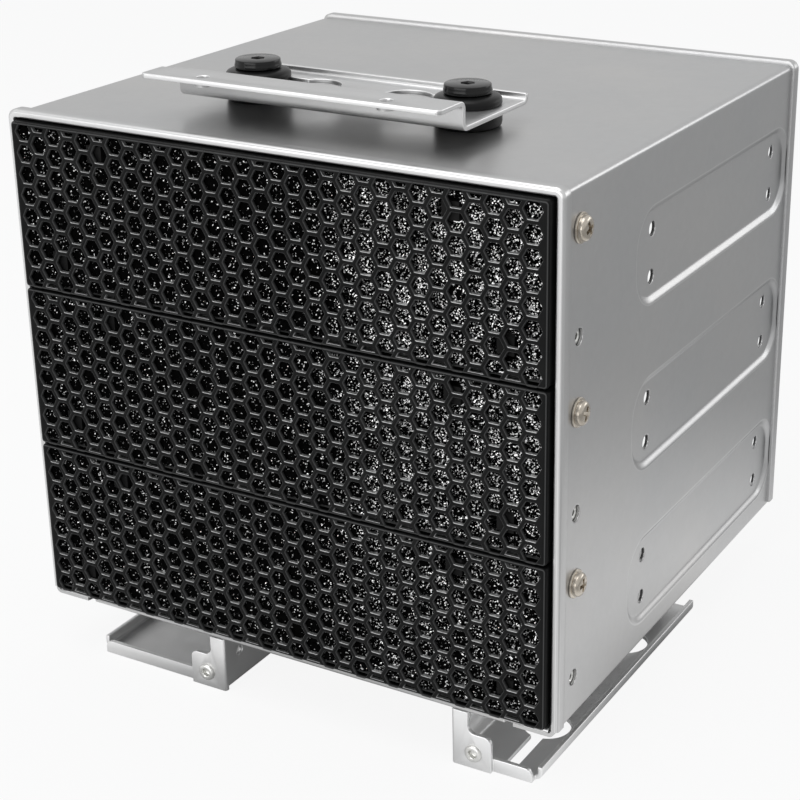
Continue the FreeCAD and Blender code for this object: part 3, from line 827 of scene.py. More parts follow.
def punch_recipe() -> Recipe:
    """Tree that sets a rim into every hole of a hexagon grille.

    Columns stand side by side, and every second one is half a row higher and one hole shorter.

    Returns:
        The tree, whose own geometry is the sheet with its holes cut.
    """
    recipe = Recipe("punched_rims")
    rim = recipe.size("Rim", "Object")
    columns = recipe.size("Columns", "Int")
    rows = recipe.size("Rows", "Int")
    column_pitch = recipe.size("Column Pitch", "Float")
    row_pitch = recipe.size("Row Pitch", "Float")
    middle = recipe.size("Middle", "Vector")
    weld = recipe.size("Weld", "Float")
    material = recipe.size("Finish", "Material")
    index = recipe.add("GeometryNodeInputIndex", {}).outputs[0]
    column = recipe.sum("FLOOR", recipe.sum("DIVIDE", index, rows), 0.0)
    row = recipe.sum("MODULO", index, rows)
    odd = recipe.sum("MODULO", column, 2.0)
    half_columns = recipe.sum("DIVIDE", recipe.sum("SUBTRACT", columns, 1.0), 2.0)
    half_rows = recipe.sum("DIVIDE", recipe.sum("SUBTRACT", rows, 1.0), 2.0)
    across = recipe.sum("MULTIPLY", recipe.sum("SUBTRACT", column, half_columns), column_pitch)
    stagger = recipe.sum("MULTIPLY", odd, 0.5)
    level = recipe.sum("ADD", recipe.sum("SUBTRACT", row, half_rows), stagger)
    up = recipe.sum("MULTIPLY", level, row_pitch)
    flat = recipe.add("ShaderNodeCombineXYZ", {"X": across, "Z": up}).outputs[0]
    place = recipe.vector("ADD", flat, middle)
    count = recipe.sum("MULTIPLY", columns, rows)
    points = recipe.add("GeometryNodePoints", {"Count": count, "Position": place}).outputs[0]
    last_row = recipe.sum("GREATER_THAN", row, recipe.sum("SUBTRACT", rows, 1.5))
    spare = recipe.sum("MULTIPLY", last_row, odd)
    kept = recipe.add("GeometryNodeDeleteGeometry", {"Geometry": points, "Selection": spare}).outputs[0]
    both = recipe.add("GeometryNodeJoinGeometry", {0: recipe.repeated(rim, kept)})
    recipe.fill(both, {0: recipe.entry.outputs["Geometry"]})
    welded = recipe.add("GeometryNodeMergeByDistance", {"Geometry": both.outputs[0], "Distance": weld})
    recipe.close(welded.outputs[0], material)
    return recipe


def fastener_recipe() -> Recipe:
    """Tree that sets fasteners in rows, each turned about its own axis by a seeded amount.

    Returns:
        The tree.
    """
    recipe = Recipe("fastener_rows")
    fastener = recipe.size("Fastener", "Object")
    count = recipe.size("Count", "Int")
    per_row = recipe.size("Per Row", "Int")
    first = recipe.size("First", "Vector")
    along = recipe.size("Along", "Vector")
    across = recipe.size("Across", "Vector")
    axis = recipe.size("Axis", "Vector")
    seed = recipe.size("Seed", "Int")
    material = recipe.size("Finish", "Material")
    index = recipe.add("GeometryNodeInputIndex", {}).outputs[0]
    step = recipe.sum("MODULO", index, per_row)
    row = recipe.sum("FLOOR", recipe.sum("DIVIDE", index, per_row), 0.0)
    run = recipe.vector("ADD", recipe.scaled(along, step), recipe.scaled(across, row))
    place = recipe.vector("ADD", first, run)
    points = recipe.add("GeometryNodePoints", {"Count": count, "Position": place}).outputs[0]
    any_turn = {2: 0.0, 3: 2 * math.pi, "Seed": seed}
    turn = recipe.add("FunctionNodeRandomValue", any_turn, data_type="FLOAT").outputs[1]
    spin = recipe.add("FunctionNodeAxisAngleToRotation", {"Axis": axis, "Angle": turn}).outputs[0]
    recipe.close(recipe.repeated(fastener, points, Rotation=spin), material)
    return recipe


def foam_recipe() -> Recipe:
    """Tree that makes a foam sheet whose broad faces are pitted by open cells.

    Returns:
        The tree.
    """
    recipe = Recipe("open_cells")
    extent = recipe.size("Size", "Vector")
    middle = recipe.size("Middle", "Vector")
    steps_across = recipe.size("Steps Across", "Int")
    steps_up = recipe.size("Steps Up", "Int")
    cell_scale = recipe.size("Cells Per Metre", "Float")
    depth = recipe.size("Pit Depth", "Float")
    pit_reach = recipe.size("Pit Reach", "Float")
    pegs = [recipe.size(name, "Vector") for name in ("High Peg", "Low Peg")]
    peg_hole = recipe.size("Peg Hole Radius", "Float")
    material = recipe.size("Finish", "Material")
    values = {"Size": extent, "Vertices X": steps_across, "Vertices Y": 2, "Vertices Z": steps_up}
    block = recipe.add("GeometryNodeMeshCube", values).outputs[0]
    position = recipe.add("GeometryNodeInputPosition", {}).outputs[0]
    parts = recipe.add("ShaderNodeSeparateXYZ", {0: position}).outputs
    mirrored_x = recipe.add("ShaderNodeMath", {0: parts["X"]}, operation="ABSOLUTE").outputs[0]
    folded = recipe.add("ShaderNodeCombineXYZ", {"X": mirrored_x, "Z": parts["Z"]}).outputs[0]
    inside = []
    for peg in pegs:
        away = recipe.add("ShaderNodeVectorMath", {0: folded, 1: peg}, operation="DISTANCE").outputs["Value"]
        inside.append(recipe.sum("LESS_THAN", away, peg_hole))
    values = {"Geometry": block, "Selection": recipe.sum("MAXIMUM", *inside)}
    pierced = recipe.add("GeometryNodeDeleteGeometry", values, domain="FACE").outputs[0]
    values = {"Vector": recipe.vector("ADD", position, middle), "Scale": cell_scale}
    cells = recipe.add("ShaderNodeTexVoronoi", values, feature="DISTANCE_TO_EDGE").outputs["Distance"]
    pit = recipe.add("ShaderNodeMapRange", {"Value": cells, "From Max": pit_reach}).outputs[0]
    inward = recipe.sum("MULTIPLY", recipe.sum("SIGN", parts["Y"], 0.0), recipe.sum("MULTIPLY", pit, depth))
    shift = recipe.add("ShaderNodeCombineXYZ", {"Y": recipe.sum("MULTIPLY", inward, -1.0)}).outputs[0]
    pitted = recipe.add("GeometryNodeSetPosition", {"Geometry": pierced, "Offset": shift}).outputs[0]
    placed = recipe.add("GeometryNodeSetPosition", {"Geometry": pitted, "Offset": middle}).outputs[0]
    recipe.close(placed, material)
    return recipe


# Sub-assemblies


@dataclass
class Cage:
    """Folded shell of the cage, with the floor plate that its flanges carry."""

    front: float = FRONT
    back: float = 73.0
    outer: float = WALL
    top: float = TOP
    bottom: float = 15.2
    sheet: float = 1.0
    bend: float = 1.5
    hem: float = 3.5
    hem_lip: Profile = ((0.0, 0.7), (0.09, 0.88), (0.26, 0.97), (0.5, 1.0))
    nose: float = 0.9
    inner_nose: float = 0.4
    hem_foot: float = 16.8
    flange_end: float = 62.6
    notch_end: float = 64.3
    notch_depth: float = 6.0
    guard: float = 0.5
    bend_steps: int = 8
    nose_steps: int = 6
    drive_rows: tuple[float, float] = (10.3, 22.14)
    drive_columns: tuple[float, float] = (-20.0, 59.25)
    drive_hole: float = 1.8
    ear_hole: float = 2.0
    ear_spread: float = 12.5
    outer_rim: float = 0.22
    inner_rim: float = 0.1
    rim_round: float = 0.3
    emboss_along: float = 50.525
    emboss_up: float = 12.32
    emboss_corner: float = 10.0
    emboss_slope: float = 2.2
    emboss_depth: float = 1.0
    emboss_steps: int = 8
    corner_steps: int = 10
    # Painted highlights: near-white shares on the outer edge of each embossed field and on each hem's nose
    crease_shine: float = 0.35
    hem_shine: float = 0.6
    ease: float = 0.14

    def arch(self, out: float) -> list[Flat]:
        """Line over the cage, from the right foot to the left one.

        Args:
            out: How far the line lies outside the outer face.

        Returns:
            Points of X and Z.
        """
        middle_x = self.outer - self.bend
        middle_z = self.top - self.bend
        radius = self.bend + out
        right = [(self.outer + out, self.hem_foot), (self.outer + out, middle_z - self.guard)]
        for step in range(self.bend_steps + 1):
            turn = math.pi / 2 * step / self.bend_steps
            right.append((middle_x + radius * math.cos(turn), middle_z + radius * math.sin(turn)))
        right.append((middle_x - self.guard, self.top + out))
        return right + [(-x, z) for x, z in reversed(right)]

    def hem_profile(self) -> list[Flat]:
        """Section of a hem.

        Returns:
            Distance from the end of the cage, and how far outside the outer face.
        """
        section = [(self.hem, 0.0)]
        section += [(self.hem - back, out) for back, out in self.hem_lip]
        turns = [math.pi / 2 * step / self.nose_steps for step in range(self.nose_steps + 1)]
        wide, narrow = self.nose, self.inner_nose
        section += [(wide * (1 - math.sin(t)), self.sheet - wide * (1 - math.cos(t))) for t in turns]
        section.append((0.0, 0.0))
        section += [(narrow * (1 - math.cos(t)), narrow * (1 - math.sin(t)) - self.sheet) for t in turns]
        section.append((self.sheet + self.guard, -self.sheet))
        return section

    def add_hem(self, build: Build, end: float, inward: int) -> None:
        """Adds the rolled hem at one end of the cage, with the caps at its feet.

        Args:
            build: Gathering that takes the faces.
            end: Y of the end.
            inward: Sign of Y from the end into the cage.
        """
        section = self.hem_profile()
        rows = [[(x, end + inward * along, z) for x, z in self.arch(out)] for along, out in section]
        # Painted highlight on the hem's nose, strongest at its front
        rubbed_and_highlit = [self.hem_shine * max(0.0, 1.0 - along / self.sheet) ** 0.5 for along, _ in section]
        build.strip(rows, False, rubbed_and_highlit)
        seam = section.index((0.0, 0.0))
        for side in Side:
            foot = []
            for along, out in section:
                foot.append((side.value * (self.outer + out), end + inward * along, self.hem_foot))
            build.face(foot[: seam + 1])
            build.face(foot[seam + 1 : -1] + [(side.value * (self.outer - self.sheet), end, self.hem_foot)])

    def add_rim(self, build: Build, middle: Flat, radius: float, level: float, outside: bool) -> None:
        """Adds the rounded rim of a hole in the right wall, down to the middle of the sheet.

        Args:
            build: Gathering that takes the faces.
            middle: Place along the cage and height.
            radius: Radius of the hole.
            level: How far the skin lies outside the outer face there.
            outside: Whether the skin is the outer one.
        """
        way = -1.0 if outside else 1.0
        rim = self.outer_rim if outside else self.inner_rim
        turn = self.rim_round * rim
        steps = [(self.guard, 0.0), (rim, 0.0), (turn, turn), (0.0, rim), (0.0, self.sheet / 2)]
        rows = []
        for wider, deeper in steps:
            loop = shifted(circle(radius + wider), *middle)
            rows.append([(self.outer + level + way * deeper, u, v) for u, v in loop])
        build.strip(rows, True)

    def add_field(self, build: Build, floor: float, out: float) -> list[Flat]:
        """Adds the embossed field of one bay in the right wall, with its drive holes.

        Args:
            build: Gathering that takes the faces.
            floor: Height of the bay's floor.
            out: How far the wall's skin lies outside the outer face.

        Returns:
            Edge of the field in the wall.
        """
        field = rounded_outline(self.emboss_along, self.emboss_up, self.emboss_corner, self.corner_steps)
        field = shifted(field, sum(self.drive_columns) / 2, floor + sum(self.drive_rows) / 2)
        rows = []
        for step in range(-1, self.emboss_steps + 2):
            share = min(max(step / self.emboss_steps, 0.0), 1.0)
            depth = self.emboss_depth * share * share * (3 - 2 * share)
            loop = grown(field, -self.emboss_slope * step / self.emboss_steps)
            rows.append([(self.outer + out - depth, y, z) for y, z in loop])
        # Painted highlight along the outer edge of the emboss
        build.strip(rows, True, [self.crease_shine if step == 1 else 0.0 for step in range(len(rows))])
        level = out - self.emboss_depth
        holes = []
        for y, up in itertools.product(self.drive_columns, self.drive_rows):
            holes.append(shifted(circle(self.drive_hole + self.guard), y, floor + up))
            self.add_rim(build, (y, floor + up), self.drive_hole, level, out == 0.0)
        inner = [(y, z) for _, y, z in rows[-1]]
        build.panel(inner, holes, lambda y, z: (self.outer + level, y, z))
        return [(y, z) for _, y, z in rows[0]]

    def add_wall(self, build: Build, out: float) -> None:
        """Adds one skin of the right wall with its embossed fields and holes.

        Args:
            build: Gathering that takes the faces.
            out: How far the skin lies outside the outer face.
        """
        outside = out == 0.0
        inset = self.hem if outside else self.sheet + self.guard
        near, far = self.front + inset, self.back - inset
        low, high = self.hem_foot, self.top - self.bend - self.guard
        outline = [(near, low), (far, low), (far, high), (near, high)]
        holes = []
        for floor in BAY_FLOORS:
            holes.append(self.add_field(build, floor, out))
            for lift in (-self.ear_spread, self.ear_spread):
                middle = (EAR_PLACE, floor + COVER_HEIGHT / 2 + lift)
                holes.append(shifted(circle(self.ear_hole + self.guard), *middle))
                self.add_rim(build, middle, self.ear_hole, out, outside)
        build.panel(outline, holes, lambda y, z: (self.outer + out, y, z))

    def add_foot(self, build: Build) -> None:
        """Adds the right wall's lower fold and the flange under the floor plate.

        Args:
            build: Gathering that takes the faces.
        """
        middle_x = self.outer - self.bend
        middle_z = self.bottom + self.bend
        lines = []
        for out in (0.0, -self.sheet):
            line = [(self.outer + out, self.hem_foot)]
            inset = self.sheet + self.guard if out else self.hem
            for step in range(self.bend_steps + 1):
                turn = math.pi / 2 * step / self.bend_steps
                radius = self.bend + out
                line.append((middle_x + radius * math.cos(turn), middle_z - radius * math.sin(turn)))
            line.append((middle_x - self.guard, self.bottom - out))
            lines.append(line)
            stations = (self.front, self.front + inset, self.back - inset, self.back)
            build.strip([[(x, y, z) for x, z in line] for y in stations])
            start = middle_x - self.guard
            step_back = self.front + self.notch_depth
            flange = [(start, self.front), (self.notch_end, self.front), (self.notch_end, step_back)]
            flange += [(self.flange_end, step_back), (self.flange_end, self.back), (start, self.back)]
            build.panel(flange, [], lambda x, y: (x, y, self.bottom - out))
        for y, end in ((self.front, self.notch_end), (self.back, self.flange_end)):
            rows = []
            for line, out in zip(lines, (0.0, -self.sheet)):
                rows.append([(x, y, z) for x, z in line + [(end, self.bottom - out)]])
            build.strip(rows)
        edge = flange[1:5]
        build.strip([[(x, y, self.bottom + lift) for x, y in edge] for lift in (0.0, self.sheet)])

    def build(self, finish: Material) -> Piece:
        """Makes the shell.

        Args:
            finish: Finish of the sheet.

        Returns:
            The shell's object.
        """
        walls = Build()
        for out in (0.0, -self.sheet):
            self.add_wall(walls, out)
        self.add_foot(walls)
        walls.mirrored()
        middle_x = self.outer - self.bend
        for out, inset in ((0.0, self.hem), (-self.sheet, self.sheet + self.guard)):
            ends = (self.front + inset, self.back - inset)
            line = self.arch(out)
            half = len(line) // 2
            for stretch in (line[1:half], line[half:-1]):
                walls.strip([[(x, y, z) for x, z in stretch] for y in ends])
            across = middle_x - self.guard
            corners = [(-across, ends[0]), (across, ends[0]), (across, ends[1]), (-across, ends[1])]
            walls.face([(x, y, self.top + out) for x, y in corners])
        self.add_hem(walls, self.front, 1)
        self.add_hem(walls, self.back, -1)
        return walls.piece("cage_skin", finish)

    def dress(self, finishes: Finishes) -> None:
        """Puts the shell in place of its solid and finishes the floor plate.

        Args:
            finishes: Every finish.
        """
        skin = self.build(finishes.cage)
        place(skin, "cage", Slot.CAGE, "cage_shell")
        plate = eased("bottom_plate", "floor_plate", finishes.cage, self.ease, self.sheet)
        place(plate, "cage", Slot.CAGE, "bottom_plate")


@dataclass
class Covers:
    """Hexagon-mesh covers of the three bays, with the foam behind each."""

    width: float = 147.0
    height: float = COVER_HEIGHT
    face_front: float = -73.0
    depth: float = 7.0
    sheet: float = 1.0
    corner: float = 1.0
    corner_steps: int = 5
    edge: float = 0.6
    edge_steps: int = 4
    back_edge: float = 0.1
    pitch: float = 5.36
    flats: float = 4.31
    hole_corner: float = 0.35
    rim: float = 0.18
    rim_round: float = 0.29
    weld: float = 0.003
    # Painted highlights: shares of metallic grey on the rounded front edge, on every hole rim, and strongly
    # on each hole's lower, upward-facing side
    fold_shine: float = 0.12
    rim_shine: float = 0.1
    ledge_shine: float = 0.9
    ledge_rise: float = 0.3
    ledge_slant: float = 0.1
    slack: float = 0.01
    crease: float = 32.0
    columns: int = 31
    rows: int = 8
    half_outer: float = 20.4
    foam_inset: float = 1.4
    foam_front: float = -72.0
    foam_thickness: float = 3.0
    foam_step: float = 0.42
    foam_cell: float = 1.25
    foam_pit: float = 0.9
    foam_pit_reach: float = 0.4
    foam_weld: float = 0.001
    foam_crease: float = 60.0
    peg_hole: float = 3.5
    peg_reach: float = 6.0
    peg_high: Flat = (49.0, 15.425)
    peg_low: Flat = (62.5, -13.225)

    @property
    def column_pitch(self) -> float:
        """Distance between neighbouring columns of holes."""
        return self.pitch * math.sqrt(3) / 2

    def column_place(self, column: int) -> float:
        """Place of a column of holes across a cover."""
        return (column - (self.columns - 1) / 2) * self.column_pitch

    def middle(self, bay: Bay) -> float:
        """Height of the middle of a bay's cover."""
        return BAY_FLOORS[bay.value] + self.height / 2

    def hexagon(self) -> list[Flat]:
        """Outline of a hole, with flats above and below and rounded corners.

        Returns:
            Its corners about the origin.
        """
        spoke = self.flats / math.sqrt(3)
        reach = self.hole_corner * math.tan(math.pi / 6)
        pull = self.hole_corner * (1 / math.cos(math.pi / 6) - 1)
        loop = []
        for corner in range(6):
            turn = math.pi / 3 * corner
            for way in (-1, 0, 1):
                aside = turn + way * 2 * math.pi / 3
                out = spoke if way else spoke - pull
                x = out * math.cos(turn) + abs(way) * reach * math.cos(aside)
                z = out * math.sin(turn) + abs(way) * reach * math.sin(aside)
                loop.append((x, z))
        return loop

    def hole_places(self) -> list[Flat]:
        """Middles of the whole holes.

        Returns:
            Their places about the middle of a cover.
        """
        places = []
        for column in range(self.columns):
            odd = column % 2
            for row in range(self.rows - odd):
                up = (row - (self.rows - 1) / 2 + odd / 2) * self.pitch
                places.append((self.column_place(column), up))
        return places

    def half_holes(self) -> list[list[Flat]]:
        """Outlines of the holes that the long edges cut short.

        Returns:
            Their corners about the middle of a cover.
        """
        inner = self.rows / 2 * self.pitch - self.flats / 2
        narrow = self.flats / math.sqrt(3) / 2
        wide = narrow + (self.half_outer - inner) / math.sqrt(3)
        loops = []
        for column in range(1, self.columns, 2):
            x = self.column_place(column)
            loop = [(x - narrow, inner), (x + narrow, inner)]
            loop += [(x + wide, self.half_outer), (x - wide, self.half_outer)]
            loops.append(loop)
            loops.append([(u, -v) for u, v in reversed(loop)])
        return loops

    def rim_piece(self, finish: Material) -> Piece:
        """Rim of one whole hole about the origin, from the rounded front edge to the back of the sheet.

        Args:
            finish: Finish of the cover.

        Returns:
            The rim's object.
        """
        rim = self.rim
        turn = self.rim_round * rim
        loop = self.hexagon()
        steps = [(rim, 0.0), (turn, turn), (0.0, rim), (0.0, self.sheet)]
        rows = [[(x, deep, z) for x, z in grown(loop, wide)] for wide, deep in steps]
        build = Build()
        build.strip(rows, True, (0.0, 1.0, 1.0, 0.0))
        return build.piece("hole_rim", finish)

    def pan(self, bay: Bay) -> bpy.types.Mesh:
        """Cover with its holes cut but not rimmed.

        Args:
            bay: Bay that the cover closes.

        Returns:
            The mesh.
        """
        middle = self.middle(bay)
        front = self.face_front
        outline = rounded_outline(self.width / 2, self.height / 2, self.corner, self.corner_steps)
        hexagon = self.hexagon()
        halves = self.half_holes()
        build = Build()
        for level, wide, inset in ((0.0, self.rim, self.edge), (self.sheet, 0.0, self.sheet)):
            holes = [shifted(grown(hexagon, wide), x, z) for x, z in self.hole_places()]
            holes += [grown(loop, wide / 2) for loop in halves]
            build.panel(grown(outline, -inset), holes, lambda x, z: (x, front + level, middle + z))
        for loop in halves:
            rows = []
            for wide, deep in ((self.rim / 2, 0.0), (0.0, self.rim / 2), (0.0, self.sheet)):
                rows.append([(x, front + deep, middle + z) for x, z in grown(loop, wide)])
            build.strip(rows, True, (0.0, 1.0, 0.0))
        section = []
        for step in range(self.edge_steps + 1):
            turn = math.pi / 2 * step / self.edge_steps
            section.append((self.edge * (1 - math.sin(turn)), self.edge * (1 - math.cos(turn))))
        section += [(0.0, self.depth - self.back_edge), (self.back_edge, self.depth)]
        section += [(self.sheet, self.depth), (self.sheet, self.sheet)]
        rows = []
        for inset, deep in section:
            rows.append([(x, front + deep, middle + z) for x, z in grown(outline, -inset)])
        build.strip(rows, True, [self.fold_shine if step == 1 else 0.0 for step in range(len(rows))])
        pan = build.piece("pan", None)
        mesh = pan.data
        bpy.data.objects.remove(pan)
        return mesh

    def is_ledge(self, vert: bmesh.types.BMVert, middle: float) -> bool:
        """Whether a corner of a cover lies on the flat lower side of a hole.

        Args:
            vert: The corner.
            middle: Height of the cover's middle.

        Returns:
            True where it does.
        """
        deep = vert.co.y / MM - self.face_front
        up = vert.co.z / MM - middle
        in_sheet = self.slack < deep < self.sheet + self.slack
        if not in_sheet or abs(up) >= self.half_outer + self.slack:
            return False
        normals = [face.normal for face in vert.link_faces]
        return any(way.z > self.ledge_rise and abs(way.x) < self.ledge_slant for way in normals)

    def cover(self, bay: Bay, punch: Recipe, rim: Piece, finish: Material) -> Piece:
        """Makes one cover.

        Args:
            bay: Bay that the cover closes.
            punch: Tree that rims the holes.
            rim: Rim of one hole.
            finish: Finish of the cover.

        Returns:
            The cover's object.
        """
        middle = self.middle(bay)
        values = {
            "Rim": rim,
            "Columns": self.columns,
            "Rows": self.rows,
            "Column Pitch": self.column_pitch * MM,
            "Row Pitch": self.pitch * MM,
            "Middle": (0.0, self.face_front * MM, middle * MM),
            "Weld": self.weld * MM,
            "Finish": finish,
        }
        mesh = punch.mesh(self.pan(bay), values)
        level = bmesh.new()
        level.from_mesh(mesh)
        bmesh.ops.recalc_face_normals(level, faces=level.faces)
        rubbed_and_highlit = level.verts.layers.float["burnish"]
        for vert in level.verts:
            # Painted highlight: strong on the upward-facing lower sides of holes, faint on the other rims
            if self.is_ledge(vert, middle):
                vert[rubbed_and_highlit] = self.ledge_shine
            elif vert[rubbed_and_highlit] > self.rim_shine:
                vert[rubbed_and_highlit] = self.rim_shine
        level.to_mesh(mesh)
        level.free()
        return shown("hex_cover_" + bay.label, mesh, finish, self.crease)

    def foam(self, bay: Bay, cells: Recipe, finish: Material) -> Piece:
        """Makes the foam behind one cover.

        Args:
            bay: Bay of the cover.
            cells: Tree that makes the pitted sheet.
            finish: Finish of the foam.

        Returns:
            The foam's object.
        """
        wide = self.width - 2 * self.foam_inset
        high = self.height - 2 * self.foam_inset
        middle = self.middle(bay)
        values = {
            "Size": (wide * MM, self.foam_thickness * MM, high * MM),
            "Middle": (0.0, (self.foam_front + self.foam_thickness / 2) * MM, middle * MM),
            "Steps Across": round(wide / self.foam_step),
            "Steps Up": round(high / self.foam_step),
            "Cells Per Metre": 1 / (self.foam_cell * MM),
            "Pit Depth": self.foam_pit * MM,
            "Pit Reach": self.foam_pit_reach,
            "High Peg": (self.peg_high[0] * MM, 0.0, self.peg_high[1] * MM),
            "Low Peg": (self.peg_low[0] * MM, 0.0, self.peg_low[1] * MM),
            "Peg Hole Radius": self.peg_hole * MM,
            "Finish": finish,
        }
        mesh = cells.mesh(bpy.data.meshes.new("foam"), values)
        sheet = bmesh.new()
        sheet.from_mesh(mesh)
        bmesh.ops.remove_doubles(sheet, verts=sheet.verts, dist=self.foam_weld * MM)
        rims = [edge for edge in sheet.edges if edge.is_boundary]
        for side, (x, z) in itertools.product(Side, (self.peg_high, self.peg_low)):
            peg = Vector((side.value * x * MM, (middle + z) * MM))
            near = [e for e in rims if (e.verts[0].co.xz - peg).length < self.peg_reach * MM]
            bmesh.ops.bridge_loops(sheet, edges=near)
        bmesh.ops.recalc_face_normals(sheet, faces=sheet.faces)
        sheet.to_mesh(mesh)
        sheet.free()
        return shown("foam_sheet_" + bay.label, mesh, finish, self.foam_crease)

    def dress(self, finishes: Finishes) -> None:
        """Puts covers and foam in place of their solids and finishes the frames behind them.

        Args:
            finishes: Every finish.
        """
        punch = punch_recipe()
        cells = foam_recipe()
        rim = self.rim_piece(finishes.paint)
        for bay in Bay:
            body = "cover_" + bay.label
            cover = self.cover(bay, punch, rim, finishes.paint)
            place(cover, body, Slot.PAINT, "mesh_cover_" + bay.label)
            foam = self.foam(bay, cells, finishes.foam)
            place(foam, body, Slot.FOAM, "foam_filter_" + bay.label)
            finish_node("filter_frame_" + bay.label, finishes.plastic)
        bpy.data.objects.remove(rim)


@dataclass
class Fasteners:
    """Screws and rivets, set in rows by one tree."""

    first_screw: float = 51.375
    first_insert: float = 26.375
    insert_back: float = 2.6
    bay_pitch: float = 42.9
    plate_under: float = 16.2
    cage_rivet_across: float = 68.85
    cage_rivet_rows: tuple[float, float] = (-51.0, 52.0)
    rail_rivet_columns: tuple[float, float] = (-26.6, 54.3)
    rail_rivet_rows: tuple[float, float] = (-56.0, 33.5)
    corner_columns: tuple[float, float] = (-25.8, 53.5)
    corner_height: float = 4.3
    screw_steps: int = 44
    insert_steps: int = 28
    insert_turns: int = 5
    insert_pitch: float = 0.5
    rivet_steps: int = 28
    blind_steps: int = 36
    seed: int = 7

    # Cross recess, as the reach of its arms, half their width, and height
    cross_floor: Point = (1.0, 0.34, 1.0)
    cross_mouth: Point = (1.95, 0.52, 2.5)

    # Turned sections, as radius and height
    screw_shank: Profile = ((0.0, -6.0), (1.2, -6.0), (1.5, -5.6), (1.5, 0.02))
    screw_flange: Profile = ((3.3, 0.02), (3.5, 0.12), (3.5, 0.38), (3.36, 0.55), (2.96, 0.62))
    screw_side: Profile = ((2.92, 0.8), (2.9, 1.25), (2.78, 1.6), (2.5, 1.9))
    screw_crown: Profile = ((2.05, 2.1), (1.4, 2.18), (0.0, 2.2))
    insert_foot: Profile = ((1.5, -1.3), (1.2, -1.3))
    insert_thread: Profile = ((0.92, -1.1), (1.1, -0.9))
    insert_mouth: Profile = ((0.95, 1.6), (1.2, 1.85), (1.7, 1.85), (1.85, 1.75), (1.85, 1.48))
    insert_neck: Profile = ((1.5, 1.48), (1.5, -1.3))
    rivet_head: Profile = ((0.0, -2.3), (0.9, -2.27), (1.6, -2.12), (2.2, -1.82), (2.62, -1.42))
    rivet_shank: Profile = ((2.78, -1.0), (1.6, -1.0), (1.6, 1.0))
    rivet_end: Profile = ((2.25, 1.0), (2.2, 1.2), (1.95, 1.4), (0.0, 1.4))
    blind_bore: Profile = ((0.96, 2.6), (0.94, 0.55), (0.98, 0.06), (1.1, -0.5), (1.25, -0.66))
    blind_head: Profile = ((1.7, -0.69), (2.05, -0.55), (2.28, -0.28), (2.3, -0.02), (1.6, 0.0))
    blind_bulge: Profile = ((1.6, 2.4), (2.25, 2.45), (2.28, 3.0), (1.85, 4.3), (0.96, 4.3))
    blind_pin: Profile = ((0.97, 0.5), (0.5, 0.62), (0.0001, 0.66))

    def screw(self, side: Side, finish: Material) -> Piece:
        """Flanged pan-head screw with a cross recess, pointing into a wall.

        Args:
            side: Wall that it goes into.
            finish: Finish of the screw.

        Returns:
            The screw's object about the origin.
        """
        profile = self.screw_shank + self.screw_flange + self.screw_side + self.screw_crown
        body = lathe(profile, self.screw_steps).piece("frame_screw", finish)
        rows = []
        for reach, half, z in (self.cross_floor, self.cross_mouth):
            quarter = [(reach, -half), (reach, half), (half, half)]
            loop = []
            for cos, sin in ((1, 0), (0, 1), (-1, 0), (0, -1)):
                loop += [(x * cos - y * sin, x * sin + y * cos, z) for x, y in quarter]
            rows.append(loop)
        cross = Build()
        cross.solid(rows)
        screw = carved(body, cross.piece("cross", finish), finish)
        screw.data.transform(Matrix.Rotation(side.value * math.pi / 2, 4, "Y"))
        return screw

    def insert(self, side: Side, finish: Material) -> Piece:
        """Flanged thread insert in the spare hole of a filter frame's ear, about its middle.

        Args:
            side: Wall that it shows through.
            finish: Finish of the insert.

        Returns:
            The insert's object about the origin.
        """
        profile = list(self.insert_foot)
        for turn in range(self.insert_turns):
            profile += shifted(self.insert_thread, 0.0, self.insert_pitch * turn)
        profile += self.insert_mouth + self.insert_neck
        build = Build()
        rows = turned_rings(profile, self.insert_steps)
        build.strip([[(side.value * out, u, v) for u, v, out in row] for row in rows], True)
        return build.piece("thread_insert", finish)

    def rivet(self, finish: Material) -> Piece:
        """Round-headed rivet with its head downwards.

        Args:
            finish: Finish of the rivet.

        Returns:
            The rivet's object about the origin.
        """
        profile = self.rivet_head + self.rivet_shank + self.rivet_end
        return lathe(profile, self.rivet_steps).piece("round_rivet", finish)

    def blind_rivet(self, finish: Material) -> Piece:
        """Hollow blind rivet that faces the front, with the stub of its pin inside.

        Args:
            finish: Finish of the rivet.

        Returns:
            The rivet's object about the front of its tab.
        """
        body = self.blind_bore + self.blind_head + self.blind_bulge + self.blind_bore[:1]
        build = Build()
        for profile in (body, self.blind_pin):
            rows = turned_rings(profile, self.blind_steps)
            build.strip([[(u, deep, v) for u, v, deep in row] for row in rows], True)
        return build.piece("blind_rivet", finish)

    def group(
        self,
        name: str,
        recipe: Recipe,
        fastener: Piece,
        first: Point,
        along: tuple[int, Point],
        axis: Point,
        across: tuple[int, Point] = (1, (0.0, 0.0, 0.0)),
    ) -> Piece:
        """Sets one group of fasteners in rows.

        Args:
            name: Name of the group.
            recipe: Tree that sets them.
            fastener: What it repeats, used up.
            first: Place of the first one.
            along: Number in a row and the step between them.
            axis: Axis that each is turned about.
            across: Number of rows and the step between them.

        Returns:
            The group's object.
        """
        finish = fastener.data.materials[0]
        values = {
            "Fastener": fastener,
            "Count": along[0] * across[0],
            "Per Row": along[0],
            "First": tuple(value * MM for value in first),
            "Along": tuple(value * MM for value in along[1]),
            "Across": tuple(value * MM for value in across[1]),
            "Axis": axis,
            "Seed": self.seed,
            "Finish": finish,
        }
        mesh = recipe.mesh(bpy.data.meshes.new("rows"), values)
        bpy.data.objects.remove(fastener)
        return shown(name, mesh, finish)

